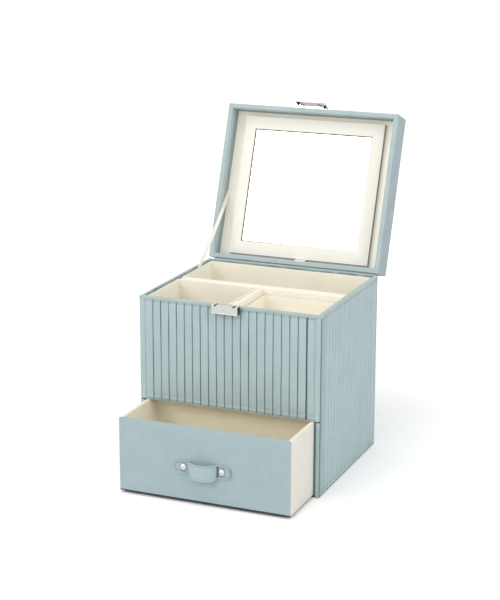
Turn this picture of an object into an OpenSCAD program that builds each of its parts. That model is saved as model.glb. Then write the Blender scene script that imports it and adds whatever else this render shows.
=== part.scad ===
// Vanity box with a mirror lid, upper wells, a lift-out tray and a drawer.
// Origin: centre of the footprint on the floor. The front faces -Y, up is +Z, sizes in millimetres.
// At rest the lid stands open on its stay ribbon and the drawer is part way out.

/* [Overall] */
// Width of the box
box_w = 210; // [170:1:260]
// Depth of the box
box_d = 184; // [150:1:230]
// Height of the box without its lid
box_h = 202; // [165:1:245]
// Height of the lid
lid_h = 32; // [28:1:42]
// Angle to which the lid opens
lid_open = 109.7; // [95:0.1:112]
// How far the drawer is pulled out at rest
drawer_out = 67; // [0:1:100]

/* [Boards and cloth] */
// Thickness of the box boards
board_t = 3; // [2.5:0.1:4]
// Thickness of the boards of the lid walls
lid_board_t = 4; // [3:0.1:5]
// Thickness of the smooth suede
cloth_t = 0.6; // [0.4:0.1:0.8]
// Thickness of the suede where it is pleated
pleat_t = 1.2; // [1:0.1:1.8]
// Thickness of the thin binding inside the rim
binding_t = 0.5; // [0.3:0.1:0.8]
// How far the binding goes down inside the rim
binding_h = 12; // [6:1:20]
// Thickness of the cream lining card
liner_t = 1.8; // [1.2:0.1:2.4]
// Thickness of the felt under the box
felt_t = 0.5; // [0.4:0.1:1]
// Thickness of the base board
base_t = 2; // [1.5:0.1:3]

/* [Pleats] */
// Distance from one fold to the next
pleat_pitch = 9.36; // [6:0.01:14]
// Height of the step at a fold
pleat_step = 0.6; // [0.3:0.1:0.9]
// Flat cloth beside the pleats on the front
front_flat = 9.7; // [6:0.1:20]
// Flat cloth before the pleats on the sides
side_flat = 15; // [6:0.5:30]

/* [Wells] */
// Height of the drawer bay
bay_h = 83.5; // [65:0.5:110]
// How far the lining stops below the rim
rim_drop = 2; // [1:0.1:6]
// Thickness of the wall between the front and back wells
cross_t = 14; // [8:0.5:20]
// Depth of the front wells
front_well_d = 80; // [60:0.5:100]
// Thickness of the wall between the two front wells
centre_t = 8.8; // [6:0.1:12]
// How far the wall cores stop below the lining rim
core_drop = 1; // [0.5:0.1:3]

/* [Tray] */
// Height of the lift-out tray
tray_h = 30; // [15:1:60]
// How far the tray rim lies below the lining rim
tray_drop = 7.2; // [2:0.1:20]
// Clearance between the tray and its well
tray_gap = 0.7; // [0.4:0.1:2]
// Wall thickness of the tray
tray_wall = 1.8; // [1.2:0.1:3]
// Thickness of the pad in the tray
tray_pad_t = 1.5; // [0.8:0.1:3]
// Width of the ledges that carry the tray
ledge_w = 4; // [2:0.5:8]
// Height of the ledges
ledge_h = 6; // [3:0.5:12]

/* [Drawer] */
// Clearance beside the drawer
drawer_gap = 0.5; // [0.3:0.1:1.5]
// Clearance between the drawer and the front hem above it
drawer_top_gap = 0.6; // [0.4:0.1:2]
// Clearance under and behind the drawer
drawer_slip = 0.3; // [0.3:0.1:1]
// Thickness of the blue jambs beside the drawer
jamb_w = 6.3; // [5.5:0.1:9]
// Thickness of the lining behind the drawer bay
bay_back_t = 1; // [0.6:0.1:2]
// Thickness of the drawer sides and back
drawer_board_t = 3; // [2:0.1:4]
// Thickness of the drawer front board
front_board_t = 4; // [3:0.1:6]
// Thickness of the drawer floor
drawer_floor_t = 2; // [1.5:0.1:3]
// Distance from the drawer front to its partition
partition_y = 86; // [50:1:110]
// Thickness of the partition
partition_t = 4; // [2.5:0.1:6]
// How far the partition stops below the drawer rim
partition_drop = 3; // [1:0.5:30]
// Thickness of the pad on the drawer floor
drawer_pad_t = 1; // [0.6:0.1:2]

/* [Handle] */
// Length of the handle strap
strap_l = 65; // [50:1:90]
// Height of the strap at its middle
strap_h = 18; // [12:0.5:24]
// Height of the round strap ends
strap_end_h = 14.6; // [10:0.1:20]
// Thickness of the strap
strap_t = 2; // [1.4:0.1:3]
// Width of the bow between its feet
bow_w = 34; // [24:1:50]
// How far the bow stands out
bow_out = 9.5; // [8:0.5:14]
// Distance between the two rivets
rivet_gap = 44; // [40:0.5:56]
// Radius of a rivet head
rivet_head_r = 3.6; // [2.5:0.1:5]
// Radius of a rivet shank
rivet_r = 1; // [0.8:0.1:1.6]
// Height of the handle above the drawer bottom
handle_z = 38.2; // [25:0.1:60]

/* [Clasp] */
// Width of the clasp
clasp_w = 30; // [22:0.1:40]
// How far the clasp sits to the right of the middle, less than 0 for the left
clasp_x = -1.8; // [-6:0.1:6]
// Height of the clasp
clasp_h = 9.6; // [8:0.1:14]
// How far the clasp stands out from the box
clasp_out = 7.2; // [5:0.1:8]
// How far the clasp reaches above the rim
clasp_up = 1; // [0:0.1:2]
// Distance between the two prongs
prong_gap = 21.3; // [18:0.1:26]
// Width of a prong
prong_w = 2.4; // [1.6:0.1:3]
// Length of a prong
prong_l = 7.2; // [5:0.1:8]
// Travel of the press plate
press_travel = 0.7; // [0.4:0.1:0.9]
// Thickness of the metal sheet
metal_t = 0.8; // [0.6:0.1:1]
// Width of the strike plate on the lid
strike_w = 41; // [30:0.5:46]
// Height of the strike plate
strike_h = 10; // [8:0.5:14]

/* [Lid] */
// Gap between the closed lid and the rim
lid_gap = 0.5; // [0.4:0.1:1]
// Height of the hinge line above the rim
hinge_up = 1.2; // [0.8:0.1:2]
// Length of the cloth hinge along the box
hinge_l = 196; // [120:1:200]
// How far the cloth hinge reaches down the back of the box
hinge_leg = 28; // [15:1:40]
// How far the cloth hinge reaches up the back of the lid
hinge_lid_leg = 25; // [12:1:27]
// Depth of the lid lining below the lid rim
lining_depth = 20; // [16:0.5:24]
// Thickness of the lid lining card
lining_t = 1.5; // [1:0.1:2.5]
// Width of the spacer frame behind the lid lining
spacer_w = 26; // [18:1:40]

/* [Mirror] */
// Width of the mirror panel
mirror_w = 173; // [140:1:190]
// Height of the mirror panel
mirror_d = 165; // [130:1:172]
// Width of the mirror frame at its sides
frame_side = 14.25; // [8:0.25:25]
// Width of the mirror frame at its top and bottom
frame_end = 16; // [8:0.25:25]
// Thickness of the mirror panel
mirror_t = 5.7; // [5:0.1:8]
// How far the mirror lies back in its frame
mirror_recess = 2; // [1:0.1:3]
// Thickness of the mirror glass
glass_t = 2; // [1.5:0.1:3]
// How far the glass reaches under the frame
glass_lap = 5; // [3:0.5:7]
// Clearance behind the mirror panel
mirror_slip = 0.3; // [0.3:0.1:1]
// Place of the mirror panel along the lid, towards the hinge
mirror_shift = 1.1; // [-2:0.1:2]
// Radius of the holding magnets
magnet_r = 4; // [2.5:0.1:5]
// Thickness of the holding magnets
magnet_t = 1.5; // [1:0.1:2]
// Width of the pull tab
tab_w = 13; // [8:0.5:20]
// Place of the pull tab along the panel
tab_x = 5; // [-20:0.5:20]
// How far the pull tab stands out
tab_out = 5; // [2:0.5:10]

/* [Ribbon] */
// Width of the stay ribbon
ribbon_w = 4.5; // [3:0.1:8]
// Thickness of the stay ribbon
ribbon_t = 0.5; // [0.3:0.1:0.8]
// Distance of its lower end from the back of the box
ribbon_back = 43; // [30:1:70]
// Distance of its upper end from the hinge
ribbon_up = 82; // [60:1:110]

/* [Hidden] */

suede = "lightsteelblue";
suede_dark = "slategray";
cream = "antiquewhite";
card = "tan";
nickel = "silver";
// Glue line between a strip of cloth and the lid that it joins
glue_gap = 0.05;
$fn = 48;

// Levels of the box
half_w = box_w / 2;
half_d = box_d / 2;
front_y = -half_d;
back_y = half_d;
base_top = felt_t + base_t;
shelf_z = base_top + bay_h;
shelf_top = shelf_z + board_t;
board_top = box_h - cloth_t;
liner_rim = box_h - rim_drop;

// Faces of the boards and linings, counted from the middle
board_x = half_w - pleat_t;
inner_x = board_x - board_t;
liner_x = inner_x - binding_t;
well_x = liner_x - liner_t;
bay_x = half_w - jamb_w;
front_board_y = front_y + pleat_t;
front_inner_y = front_board_y + board_t;
front_liner_y = front_inner_y + binding_t;
front_well_y = front_liner_y + liner_t;
back_board_y = back_y - cloth_t;
back_inner_y = back_board_y - board_t;
back_liner_y = back_inner_y - binding_t;
back_well_y = back_liner_y - liner_t;

// Places of the two inner walls
cross_front_y = front_well_y + front_well_d;
cross_back_y = cross_front_y + cross_t;
centre_half = centre_t / 2;

// Tray
tray_x0 = centre_half + tray_gap;
tray_x1 = well_x - tray_gap;
tray_y0 = front_well_y + tray_gap;
tray_y1 = cross_front_y - tray_gap;
tray_top = liner_rim - tray_drop;
tray_floor_z = tray_top - tray_h;
ledge_top = tray_floor_z - drawer_slip;

// Drawer, in its place at rest
drawer_x = bay_x - drawer_gap;
drawer_y0 = front_y - drawer_out;
drawer_back_y = back_inner_y - bay_back_t - drawer_slip - drawer_out;
drawer_z0 = base_top + drawer_slip;
drawer_z1 = shelf_z - cloth_t - drawer_top_gap;
drawer_board_x = drawer_x - cloth_t;
drawer_board_top = drawer_z1 - cloth_t;
drawer_inner_x = drawer_board_x - drawer_board_t;
drawer_front_in = drawer_y0 + cloth_t + front_board_t;
drawer_back_in = drawer_back_y - cloth_t - drawer_board_t;
drawer_floor_top = drawer_z0 + drawer_floor_t;

// Lid, in its closed place
lid_z = box_h + lid_gap;
lid_top = lid_z + lid_h;
lid_wall_x = half_w - cloth_t;
lid_wall_y = half_d - cloth_t;
lid_in_x = lid_wall_x - lid_board_t;
lid_in_y = lid_wall_y - lid_board_t;
lid_clear_x = lid_in_x - cloth_t;
lid_clear_y = lid_in_y - cloth_t;
lid_board_z = lid_top - cloth_t - board_t;
lining_z = lid_z + lining_depth;
hinge_y = back_y + cloth_t;
hinge_z = box_h + hinge_up;

// Mirror panel, in the closed lid
mirror_z = lining_z - mirror_slip - mirror_t;
mirror_back_z = mirror_z + mirror_t;
glass_z = mirror_z + mirror_recess;
glass_half_x = mirror_w / 2 - frame_side + glass_lap;
glass_half_y = mirror_d / 2 - frame_end + glass_lap;
magnet_x = mirror_w / 2 - frame_side / 2 + glass_lap / 2;
magnet_y = mirror_d / 2 - frame_end / 2 + glass_lap / 2;

// Clasp
clasp_z1 = box_h + clasp_up;
clasp_z0 = clasp_z1 - clasp_h;
clasp_mid_z = (clasp_z0 + clasp_z1) / 2;
clasp_rest_gap = press_travel + 0.3;
housing_y = front_y - clasp_out + metal_t + clasp_rest_gap;
pocket_half = 7;
pocket_edge = 1.2;
stem_half = 5.5;
stem_end_y = (housing_y + front_y - metal_t) / 2 - 0.5;
screw_r = 0.8;
screw_x = 4.2;
screw_head_r = 1.3;
screw_head_t = 0.6;
slot_clear = 0.4;
slot_y = housing_y + 1.7;
prong_t = 1;
hood_z = lid_z + clasp_up;
nail_x = 12;
nail_r = 0.6;
hole_clear = 0.1;

// Handle
washer_t = 0.6;
washer_r = 3;
bow_r = (pow(bow_w / 2, 2) + pow(bow_out, 2)) / (2 * bow_out);
handle_mid_z = drawer_z0 + handle_z;

// A box between two x, two y and two z values
module block(x, y, z) {
    translate([x[0], y[0], z[0]])
        cube([x[1] - x[0], y[1] - y[0], z[1] - z[0]]);
}

// A round bar along Y between two y values
module bar_y(x, z, y, r) {
    translate([x, y[1], z])
        rotate([90, 0, 0])
            cylinder(h = y[1] - y[0], r = r);
}

// An open box with a floor
module tub(x, y, z, wall, floor_t) {
    difference() {
        block(x, y, z);
        block(
            [x[0] + wall, x[1] - wall],
            [y[0] + wall, y[1] - wall],
            [z[0] + floor_t, z[1] + 1]
        );
    }
}

// A ring between an outer and an inner rectangle
module ring(x, y, x_in, y_in, z) {
    difference() {
        block(x, y, z);
        block(x_in, y_in, [z[0] - 1, z[1] + 1]);
    }
}

// Cross-section of knife-pleated cloth: a flat strip, pleats that rise to their folds, flat cloth
module pleat_section(length, first, count) {
    low = pleat_t - pleat_step;
    folds = [for (i = [count - 1:-1:0]) first + i * pleat_pitch];
    steps = [for (s = folds) each [[s, low], [s, pleat_t]]];
    polygon(concat([[0, pleat_t], [0, 0], [length, 0], [length, low]], steps));
}

// Turns what is drawn in the closed lid to its place at rest
module opened() {
    translate([0, hinge_y, hinge_z])
        rotate([-lid_open, 0, 0])
            translate([0, -hinge_y, -hinge_z])
                children();
}

// A point of the open lid in the YZ plane: u from the hinge to the free edge, d away from the box
function lid_point(u, d) = [
    hinge_y - u * cos(lid_open) + d * sin(lid_open),
    hinge_z + u * sin(lid_open) + d * cos(lid_open)
];

module base_felt() {
    color(suede_dark)
        block([-half_w, half_w], [front_y, back_y], [0, felt_t]);
}

module base_board() {
    color(card)
        block([-board_x, board_x], [front_board_y, back_board_y], [felt_t, base_top]);
}

module side_board() {
    color(card)
        block([inner_x, board_x], [front_board_y, back_board_y], [base_top, board_top]);
}

module side_board_right() {
    side_board();
}

module side_board_left() {
    mirror([1, 0, 0])
        side_board();
}

module back_board() {
    color(card)
        block([-inner_x, inner_x], [back_inner_y, back_board_y], [base_top, board_top]);
}

module shelf_board() {
    color(card)
        block([-inner_x, inner_x], [front_inner_y, back_inner_y], [shelf_z, shelf_top]);
}

// Holes for the two clasp screws
module screw_holes() {
    for (x = [clasp_x - screw_x, clasp_x + screw_x])
        bar_y(x, clasp_mid_z, [front_y - 1, front_inner_y + 1], screw_r + hole_clear);
}

module front_board() {
    color(card)
        difference() {
            block([-inner_x, inner_x], [front_board_y, front_inner_y], [shelf_z, board_top]);
            screw_holes();
        }
}

module front_cover() {
    length = 2 * bay_x;
    count = floor((length - 2 * front_flat) / pleat_pitch) + 1;
    first = (length - (count - 1) * pleat_pitch) / 2;
    color(suede)
        difference() {
            translate([-bay_x, front_board_y, shelf_z])
                mirror([0, 1, 0])
                    linear_extrude(board_top - shelf_z)
                        pleat_section(length, first, count);
            screw_holes();
        }
}

// Pleated cloth on a side, drawn along Y from a start, with its folds towards the far end
module side_pleats() {
    length = back_board_y - front_board_y;
    count = floor((length - 2 * side_flat) / pleat_pitch) + 1;
    linear_extrude(board_top - felt_t)
        pleat_section(length, side_flat, count);
}

module side_cover_right() {
    color(suede)
        translate([board_x, front_board_y, felt_t])
            rotate(90)
                mirror([0, 1, 0])
                    side_pleats();
}

module side_cover_left() {
    color(suede)
        translate([-board_x, back_board_y, felt_t])
            rotate(-90)
                mirror([0, 1, 0])
                    side_pleats();
}

module back_cover() {
    color(suede)
        block([-half_w, half_w], [back_board_y, back_y], [felt_t, board_top]);
}

module corner_strip() {
    color(suede)
        block([bay_x, half_w], [front_y, front_board_y], [felt_t, board_top]);
}

module corner_strip_right() {
    corner_strip();
}

module corner_strip_left() {
    mirror([1, 0, 0])
        corner_strip();
}

module rim_binding() {
    in_x = [-liner_x, liner_x];
    in_y = [front_liner_y, back_liner_y];
    flange = [board_top - binding_h, board_top];
    color(suede) {
        ring([-half_w, half_w], [front_y, back_y], in_x, in_y, [board_top, box_h]);
        ring([-inner_x, inner_x], [front_inner_y, back_inner_y], in_x, in_y, flange);
    }
}

module front_hem() {
    color(suede)
        block([-bay_x, bay_x], [front_y, front_inner_y], [shelf_z - cloth_t, shelf_z]);
}

// Lining of the drawer bay: two sides and the back
module bay_lining() {
    z = [base_top, shelf_z - cloth_t];
    color(suede) {
        block([bay_x, inner_x], [front_board_y, back_inner_y], z);
        block([-inner_x, -bay_x], [front_board_y, back_inner_y], z);
        block([-bay_x, bay_x], [back_inner_y - bay_back_t, back_inner_y], z);
    }
}

module liner_back() {
    color(cream)
        tub([-liner_x, liner_x], [cross_back_y - liner_t, back_liner_y],
            [shelf_top, liner_rim], liner_t, liner_t);
}

module liner_front() {
    color(cream)
        tub([centre_half - liner_t, liner_x], [front_liner_y, cross_front_y + liner_t],
            [shelf_top, liner_rim], liner_t, liner_t);
}

module liner_right() {
    liner_front();
}

module liner_left() {
    mirror([1, 0, 0])
        liner_front();
}

module cross_divider() {
    color(cream)
        block([-liner_x, liner_x], [cross_front_y + liner_t, cross_back_y - liner_t],
            [shelf_top, liner_rim - core_drop]);
}

module centre_divider() {
    half = centre_half - liner_t;
    color(cream)
        block([-half, half], [front_liner_y, cross_front_y + liner_t],
            [shelf_top, liner_rim - core_drop]);
}

// Two ledges on the walls of the right well, under the tray
module tray_ledges() {
    y = [front_well_y, cross_front_y];
    z = [ledge_top - ledge_h, ledge_top];
    color(cream) {
        block([centre_half, centre_half + ledge_w], y, z);
        block([well_x - ledge_w, well_x], y, z);
    }
}

// Slots for the prongs, open at the top of the clasp
module prong_slots() {
    half = prong_w / 2 + slot_clear;
    for (x = [clasp_x - prong_gap / 2, clasp_x + prong_gap / 2])
        block([x - half, x + half], [housing_y + metal_t, front_y - metal_t],
            [clasp_z1 - prong_l - 1, clasp_z1 + 1]);
}

module clasp_base() {
    color(nickel)
        difference() {
            block([clasp_x - clasp_w / 2, clasp_x + clasp_w / 2], [housing_y, front_y],
                [clasp_z0, clasp_z1]);
            block([clasp_x - pocket_half, clasp_x + pocket_half], [housing_y - 1, front_y - metal_t],
                [clasp_z0 + pocket_edge, clasp_z1 - pocket_edge]);
            prong_slots();
            screw_holes();
        }
}

module clasp_screws() {
    floor_y = front_y - metal_t;
    color(nickel)
        for (x = [clasp_x - screw_x, clasp_x + screw_x]) {
            bar_y(x, clasp_mid_z, [floor_y - screw_head_t, floor_y], screw_head_r);
            bar_y(x, clasp_mid_z, [floor_y, front_inner_y], screw_r);
        }
}

// Press plate with the stem that reaches into the clasp
module clasp_button() {
    plate_y = front_y - clasp_out;
    color(nickel) {
        block([clasp_x - clasp_w / 2, clasp_x + clasp_w / 2], [plate_y, plate_y + metal_t],
            [clasp_z0, clasp_z1]);
        block([clasp_x - stem_half, clasp_x + stem_half], [plate_y + metal_t, stem_end_y],
            [clasp_z0 + 2 * pocket_edge, clasp_z1 - 2 * pocket_edge]);
    }
}

module clasp_spring() {
    outer = 2;
    inner = 1.4;
    y = [stem_end_y + hole_clear, front_y - metal_t];
    color("gray")
        difference() {
            bar_y(clasp_x, clasp_mid_z, y, outer);
            bar_y(clasp_x, clasp_mid_z, [y[0] - 1, y[1] + 1], inner);
        }
}

// One strip of suede down the back of the box and up the back of the open lid
module hinge_cloth() {
    outline = [
        [back_y, box_h - hinge_leg],
        [hinge_y, box_h - hinge_leg],
        [hinge_y, hinge_z],
        lid_point(0, hinge_lid_leg),
        lid_point(cloth_t - glue_gap, hinge_lid_leg),
        lid_point(cloth_t - glue_gap, lid_gap - hinge_up),
        [back_y, box_h]
    ];
    color(suede)
        translate([-hinge_l / 2, 0, 0])
            rotate([90, 0, 90])
                linear_extrude(hinge_l)
                    polygon(outline);
}

// Tape from the left lining rim to the left edge of the lid lining
module stay_ribbon() {
    low = [back_y - ribbon_back, liner_rim];
    depth = lining_depth + lid_gap - hinge_up - glue_gap;
    high = lid_point(ribbon_up, depth);
    run = high - low;
    slope = atan2(run[1], run[0]);
    low_half = ribbon_w / 2 / sin(slope);
    high_half = ribbon_w / 2 / sin(180 - lid_open - slope);
    outline = [
        low - [low_half, 0],
        low + [low_half, 0],
        lid_point(ribbon_up - abs(high_half), depth),
        lid_point(ribbon_up + abs(high_half), depth)
    ];
    color("ivory")
        translate([-lid_clear_x + hole_clear, 0, 0])
            rotate([90, 0, 90])
                linear_extrude(ribbon_t)
                    polygon(outline);
}

module tray_tub() {
    color(cream)
        tub([tray_x0, tray_x1], [tray_y0, tray_y1], [tray_floor_z, tray_top],
            tray_wall, tray_wall);
}

module tray_pad() {
    z = tray_floor_z + tray_wall;
    color(cream)
        block([tray_x0 + tray_wall, tray_x1 - tray_wall],
            [tray_y0 + tray_wall, tray_y1 - tray_wall], [z, z + tray_pad_t]);
}

// Places of the two rivets of the handle
module at_rivets() {
    for (x = [-rivet_gap / 2, rivet_gap / 2])
        translate([x, drawer_y0, handle_mid_z])
            rotate([-90, 0, 0])
                children();
}

module drawer_front_board() {
    color(card)
        difference() {
            block([-drawer_board_x, drawer_board_x],
                [drawer_y0 + cloth_t, drawer_front_in], [drawer_z0, drawer_board_top]);
            at_rivets() {
                cylinder(h = 2 * front_board_t, r = rivet_r + hole_clear);
                translate([0, 0, cloth_t + front_board_t - washer_t])
                    cylinder(h = 1, r = washer_r + hole_clear);
            }
        }
}

module drawer_front_cover() {
    color(suede)
        difference() {
            block([-drawer_x, drawer_x], [drawer_y0, drawer_y0 + cloth_t], [drawer_z0, drawer_z1]);
            at_rivets()
                translate([0, 0, -1])
                    cylinder(h = front_board_t, r = rivet_r + hole_clear);
        }
}

module drawer_side() {
    color(card)
        block([drawer_inner_x, drawer_board_x], [drawer_front_in, drawer_back_y - cloth_t],
            [drawer_z0, drawer_board_top]);
}

module drawer_side_right() {
    drawer_side();
}

module drawer_side_left() {
    mirror([1, 0, 0])
        drawer_side();
}

module drawer_back() {
    color(card)
        block([-drawer_inner_x, drawer_inner_x], [drawer_back_in, drawer_back_y - cloth_t],
            [drawer_z0, drawer_board_top]);
}

module drawer_floor() {
    color(card)
        block([-drawer_inner_x, drawer_inner_x], [drawer_front_in, drawer_back_in],
            [drawer_z0, drawer_floor_top]);
}

// Cream cloth round the outside of the drawer
module drawer_skin() {
    z = [drawer_z0, drawer_board_top];
    y = [drawer_y0 + cloth_t, drawer_back_y];
    color(cream) {
        block([drawer_board_x, drawer_x], y, z);
        block([-drawer_x, -drawer_board_x], y, z);
        block([-drawer_board_x, drawer_board_x], [drawer_back_y - cloth_t, drawer_back_y], z);
    }
}

// Cream cloth inside the drawer and over its rim
module drawer_lining() {
    in_x = drawer_inner_x - cloth_t;
    in_y = [drawer_front_in + cloth_t, drawer_back_in - cloth_t];
    color(cream)
        difference() {
            union() {
                block([-drawer_x, drawer_x], [drawer_y0 + cloth_t, drawer_back_y],
                    [drawer_board_top, drawer_z1]);
                block([-drawer_inner_x, drawer_inner_x], [drawer_front_in, drawer_back_in],
                    [drawer_floor_top, drawer_board_top]);
            }
            block([-in_x, in_x], in_y, [drawer_floor_top + cloth_t, drawer_z1 + 1]);
        }
}

module drawer_partition() {
    in_x = drawer_inner_x - cloth_t;
    y = drawer_y0 + partition_y;
    color(cream)
        block([-in_x, in_x], [y, y + partition_t],
            [drawer_floor_top + cloth_t, drawer_z1 - partition_drop]);
}

// A pad on the floor of each half of the drawer
module drawer_pads() {
    in_x = drawer_inner_x - cloth_t;
    z = drawer_floor_top + cloth_t;
    y = drawer_y0 + partition_y;
    color(cream) {
        block([-in_x, in_x], [drawer_front_in + cloth_t, y], [z, z + drawer_pad_t]);
        block([-in_x, in_x], [y + partition_t, drawer_back_in - cloth_t], [z, z + drawer_pad_t]);
    }
}

// Plan of the strap: two flat feet and a round bow, with the drawer face on the X axis
module strap_plan() {
    difference() {
        union() {
            translate([0, bow_out - bow_r])
                circle(bow_r, $fn = 96);
            translate([-strap_l / 2, 0])
                square([strap_l, strap_t]);
        }
        translate([0, bow_out - bow_r])
            circle(bow_r - strap_t, $fn = 96);
        translate([-strap_l, -2 * bow_r])
            square([2 * strap_l, 2 * bow_r]);
    }
}

// Front outline of the strap: round ends and a wider middle
module strap_front() {
    end_r = strap_end_h / 2;
    for (side = [-1, 1])
        translate([side * (strap_l / 2 - end_r), 0])
            circle(end_r);
    square([strap_l - 2 * end_r, strap_end_h], center = true);
    translate([-bow_w / 2, strap_end_h / 2 - strap_h])
        square([bow_w, strap_h]);
}

module handle_strap() {
    color(suede)
        difference() {
            intersection() {
                translate([0, drawer_y0, handle_mid_z - strap_l / 2])
                    mirror([0, 1, 0])
                        linear_extrude(strap_l)
                            strap_plan();
                translate([0, drawer_y0 + 1, handle_mid_z])
                    rotate([90, 0, 0])
                        linear_extrude(2 * bow_out)
                            strap_front();
            }
            at_rivets()
                translate([0, 0, -2 * strap_t])
                    cylinder(h = 3 * strap_t, r = rivet_r + hole_clear);
        }
}

// Rivet with a low domed head, its axis into the drawer front
module rivet() {
    head_t = 1.4;
    edge_t = 0.5;
    dome_r = (pow(rivet_head_r, 2) + pow(head_t - edge_t, 2)) / (2 * (head_t - edge_t));
    intersection() {
        translate([0, 0, -strap_t - head_t])
            cylinder(h = head_t, r = rivet_head_r);
        translate([0, 0, dome_r - strap_t - head_t])
            sphere(dome_r);
    }
    translate([0, 0, -strap_t])
        cylinder(h = strap_t + cloth_t + front_board_t - washer_t, r = rivet_r);
}

module handle_rivets() {
    color(nickel)
        at_rivets()
            rivet();
}

module rivet_washers() {
    color(nickel)
        at_rivets()
            translate([0, 0, cloth_t + front_board_t - washer_t])
                cylinder(h = washer_t, r = washer_r);
}

module lid_top_board() {
    color(card)
        opened()
            block([-lid_wall_x, lid_wall_x], [-lid_wall_y, lid_wall_y],
                [lid_board_z, lid_top - cloth_t]);
}

// A wall board of the lid between its rim cloth and its top board
module lid_wall(x, y) {
    block(x, y, [lid_z + cloth_t, lid_board_z]);
}

module lid_wall_front() {
    color(card)
        opened()
            difference() {
                lid_wall([-lid_wall_x, lid_wall_x], [-lid_wall_y, -lid_in_y]);
                nail_holes();
            }
}

module lid_wall_back() {
    color(card)
        opened()
            lid_wall([-lid_wall_x, lid_wall_x], [lid_in_y, lid_wall_y]);
}

module lid_wall_left() {
    color(card)
        opened()
            lid_wall([-lid_wall_x, -lid_in_x], [-lid_in_y, lid_in_y]);
}

module lid_wall_right() {
    color(card)
        opened()
            lid_wall([lid_in_x, lid_wall_x], [-lid_in_y, lid_in_y]);
}

// Suede over the top and down the four sides of the lid
module lid_cover() {
    color(suede)
        opened()
            difference() {
                block([-half_w, half_w], [-half_d, half_d], [lid_z + cloth_t, lid_top]);
                block([-lid_wall_x, lid_wall_x], [-lid_wall_y, lid_wall_y],
                    [lid_z, lid_top - cloth_t]);
                nail_holes();
            }
}

// Suede over the lid rim and down its inner walls
module lid_inner_cloth() {
    in_x = [-lid_clear_x, lid_clear_x];
    in_y = [-lid_clear_y, lid_clear_y];
    color(suede)
        opened() {
            ring([-half_w, half_w], [-half_d, half_d], in_x, in_y, [lid_z, lid_z + cloth_t]);
            ring([-lid_in_x, lid_in_x], [-lid_in_y, lid_in_y], in_x, in_y,
                [lid_z + cloth_t, lining_z + lining_t]);
        }
}

module lid_lining() {
    color(cream)
        opened()
            block([-lid_clear_x, lid_clear_x], [-lid_clear_y, lid_clear_y],
                [lining_z, lining_z + lining_t]);
}

// Places of the four magnets, seen from inside the closed lid
module at_magnets() {
    for (x = [-magnet_x, magnet_x])
        for (y = [-magnet_y, magnet_y])
            translate([x, y + mirror_shift, 0])
                children();
}

module lid_spacer_frame() {
    z = lining_z + lining_t;
    color(card)
        opened()
            difference() {
                block([-lid_in_x, lid_in_x], [-lid_in_y, lid_in_y], [z, lid_board_z]);
                block([-lid_in_x + spacer_w, lid_in_x - spacer_w],
                    [-lid_in_y + spacer_w, lid_in_y - spacer_w], [z - 1, lid_board_z + 1]);
                at_magnets()
                    translate([0, 0, z - 1])
                        cylinder(h = magnet_t + 1, r = magnet_r + hole_clear);
            }
}

module lid_magnets() {
    color("dimgray")
        opened()
            at_magnets()
                translate([0, 0, lining_z + lining_t])
                    cylinder(h = magnet_t, r = magnet_r);
}

// Blind holes for the two nails of the strike plate
module nail_holes() {
    for (x = [clasp_x - nail_x, clasp_x + nail_x])
        bar_y(x, hood_z + strike_h - 3, [front_y - 1, -lid_in_y - 1], nail_r + hole_clear);
}

// Prong that hangs from the hood, with a small barb near its tip
module prong() {
    y = slot_y;
    tip = hood_z - prong_l;
    outline = [
        [y - prong_t / 2, hood_z],
        [y - prong_t / 2, tip],
        [y + prong_t / 2 - slot_clear, tip],
        [y + prong_t / 2 + slot_clear / 2, tip + 1.5],
        [y + prong_t / 2, tip + 2],
        [y + prong_t / 2, hood_z]
    ];
    translate([-prong_w / 2, 0, 0])
        rotate([90, 0, 90])
            linear_extrude(prong_w)
                polygon(outline);
}

// Plate on the front of the lid with a hood, two cheeks and two prongs
module strike_plate() {
    plate_y = front_y - metal_t;
    lip_y = front_y - clasp_out;
    half = strike_w / 2 - 2;
    cheek = [[plate_y, hood_z], [lip_y, hood_z], [plate_y, hood_z + strike_h - 2]];
    color(nickel)
        opened() {
            difference() {
                block([clasp_x - strike_w / 2, clasp_x + strike_w / 2], [plate_y, front_y],
                    [hood_z, hood_z + strike_h]);
                nail_holes();
            }
            block([clasp_x - half, clasp_x + half], [lip_y, plate_y], [hood_z, hood_z + metal_t]);
            block([clasp_x - half, clasp_x + half], [lip_y, lip_y + metal_t], [hood_z, hood_z + 3.5]);
            for (x = [clasp_x - half, clasp_x + half - metal_t])
                translate([x, 0, 0])
                    rotate([90, 0, 90])
                        linear_extrude(metal_t)
                            polygon(cheek);
            for (x = [clasp_x - prong_gap / 2, clasp_x + prong_gap / 2])
                translate([x, 0, 0])
                    prong();
        }
}

module strike_nails() {
    z = hood_z + strike_h - 3;
    head_y = front_y - metal_t - 0.5;
    color(nickel)
        opened()
            for (x = [clasp_x - nail_x, clasp_x + nail_x]) {
                bar_y(x, z, [head_y, front_y - metal_t], 2 * nail_r);
                bar_y(x, z, [front_y - metal_t, -lid_in_y - 1.2], nail_r);
            }
}

// Places a child drawn round the middle of the mirror panel
module at_mirror() {
    opened()
        translate([0, mirror_shift, 0])
            children();
}

module mirror_frame() {
    half_x = mirror_w / 2;
    half_y = mirror_d / 2;
    open_x = half_x - frame_side;
    open_y = half_y - frame_end;
    color(cream)
        at_mirror()
            difference() {
                block([-half_x, half_x], [-half_y, half_y], [mirror_z, mirror_back_z]);
                block([-open_x, open_x], [-open_y, open_y], [mirror_z - 1, mirror_back_z + 1]);
                block([-glass_half_x, glass_half_x], [-glass_half_y, glass_half_y],
                    [glass_z, mirror_back_z + 1]);
                for (x = [-magnet_x, magnet_x])
                    for (y = [-magnet_y, magnet_y])
                        translate([x, y, mirror_back_z - 1])
                            cylinder(h = 2, r = magnet_r + hole_clear);
            }
}

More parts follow.
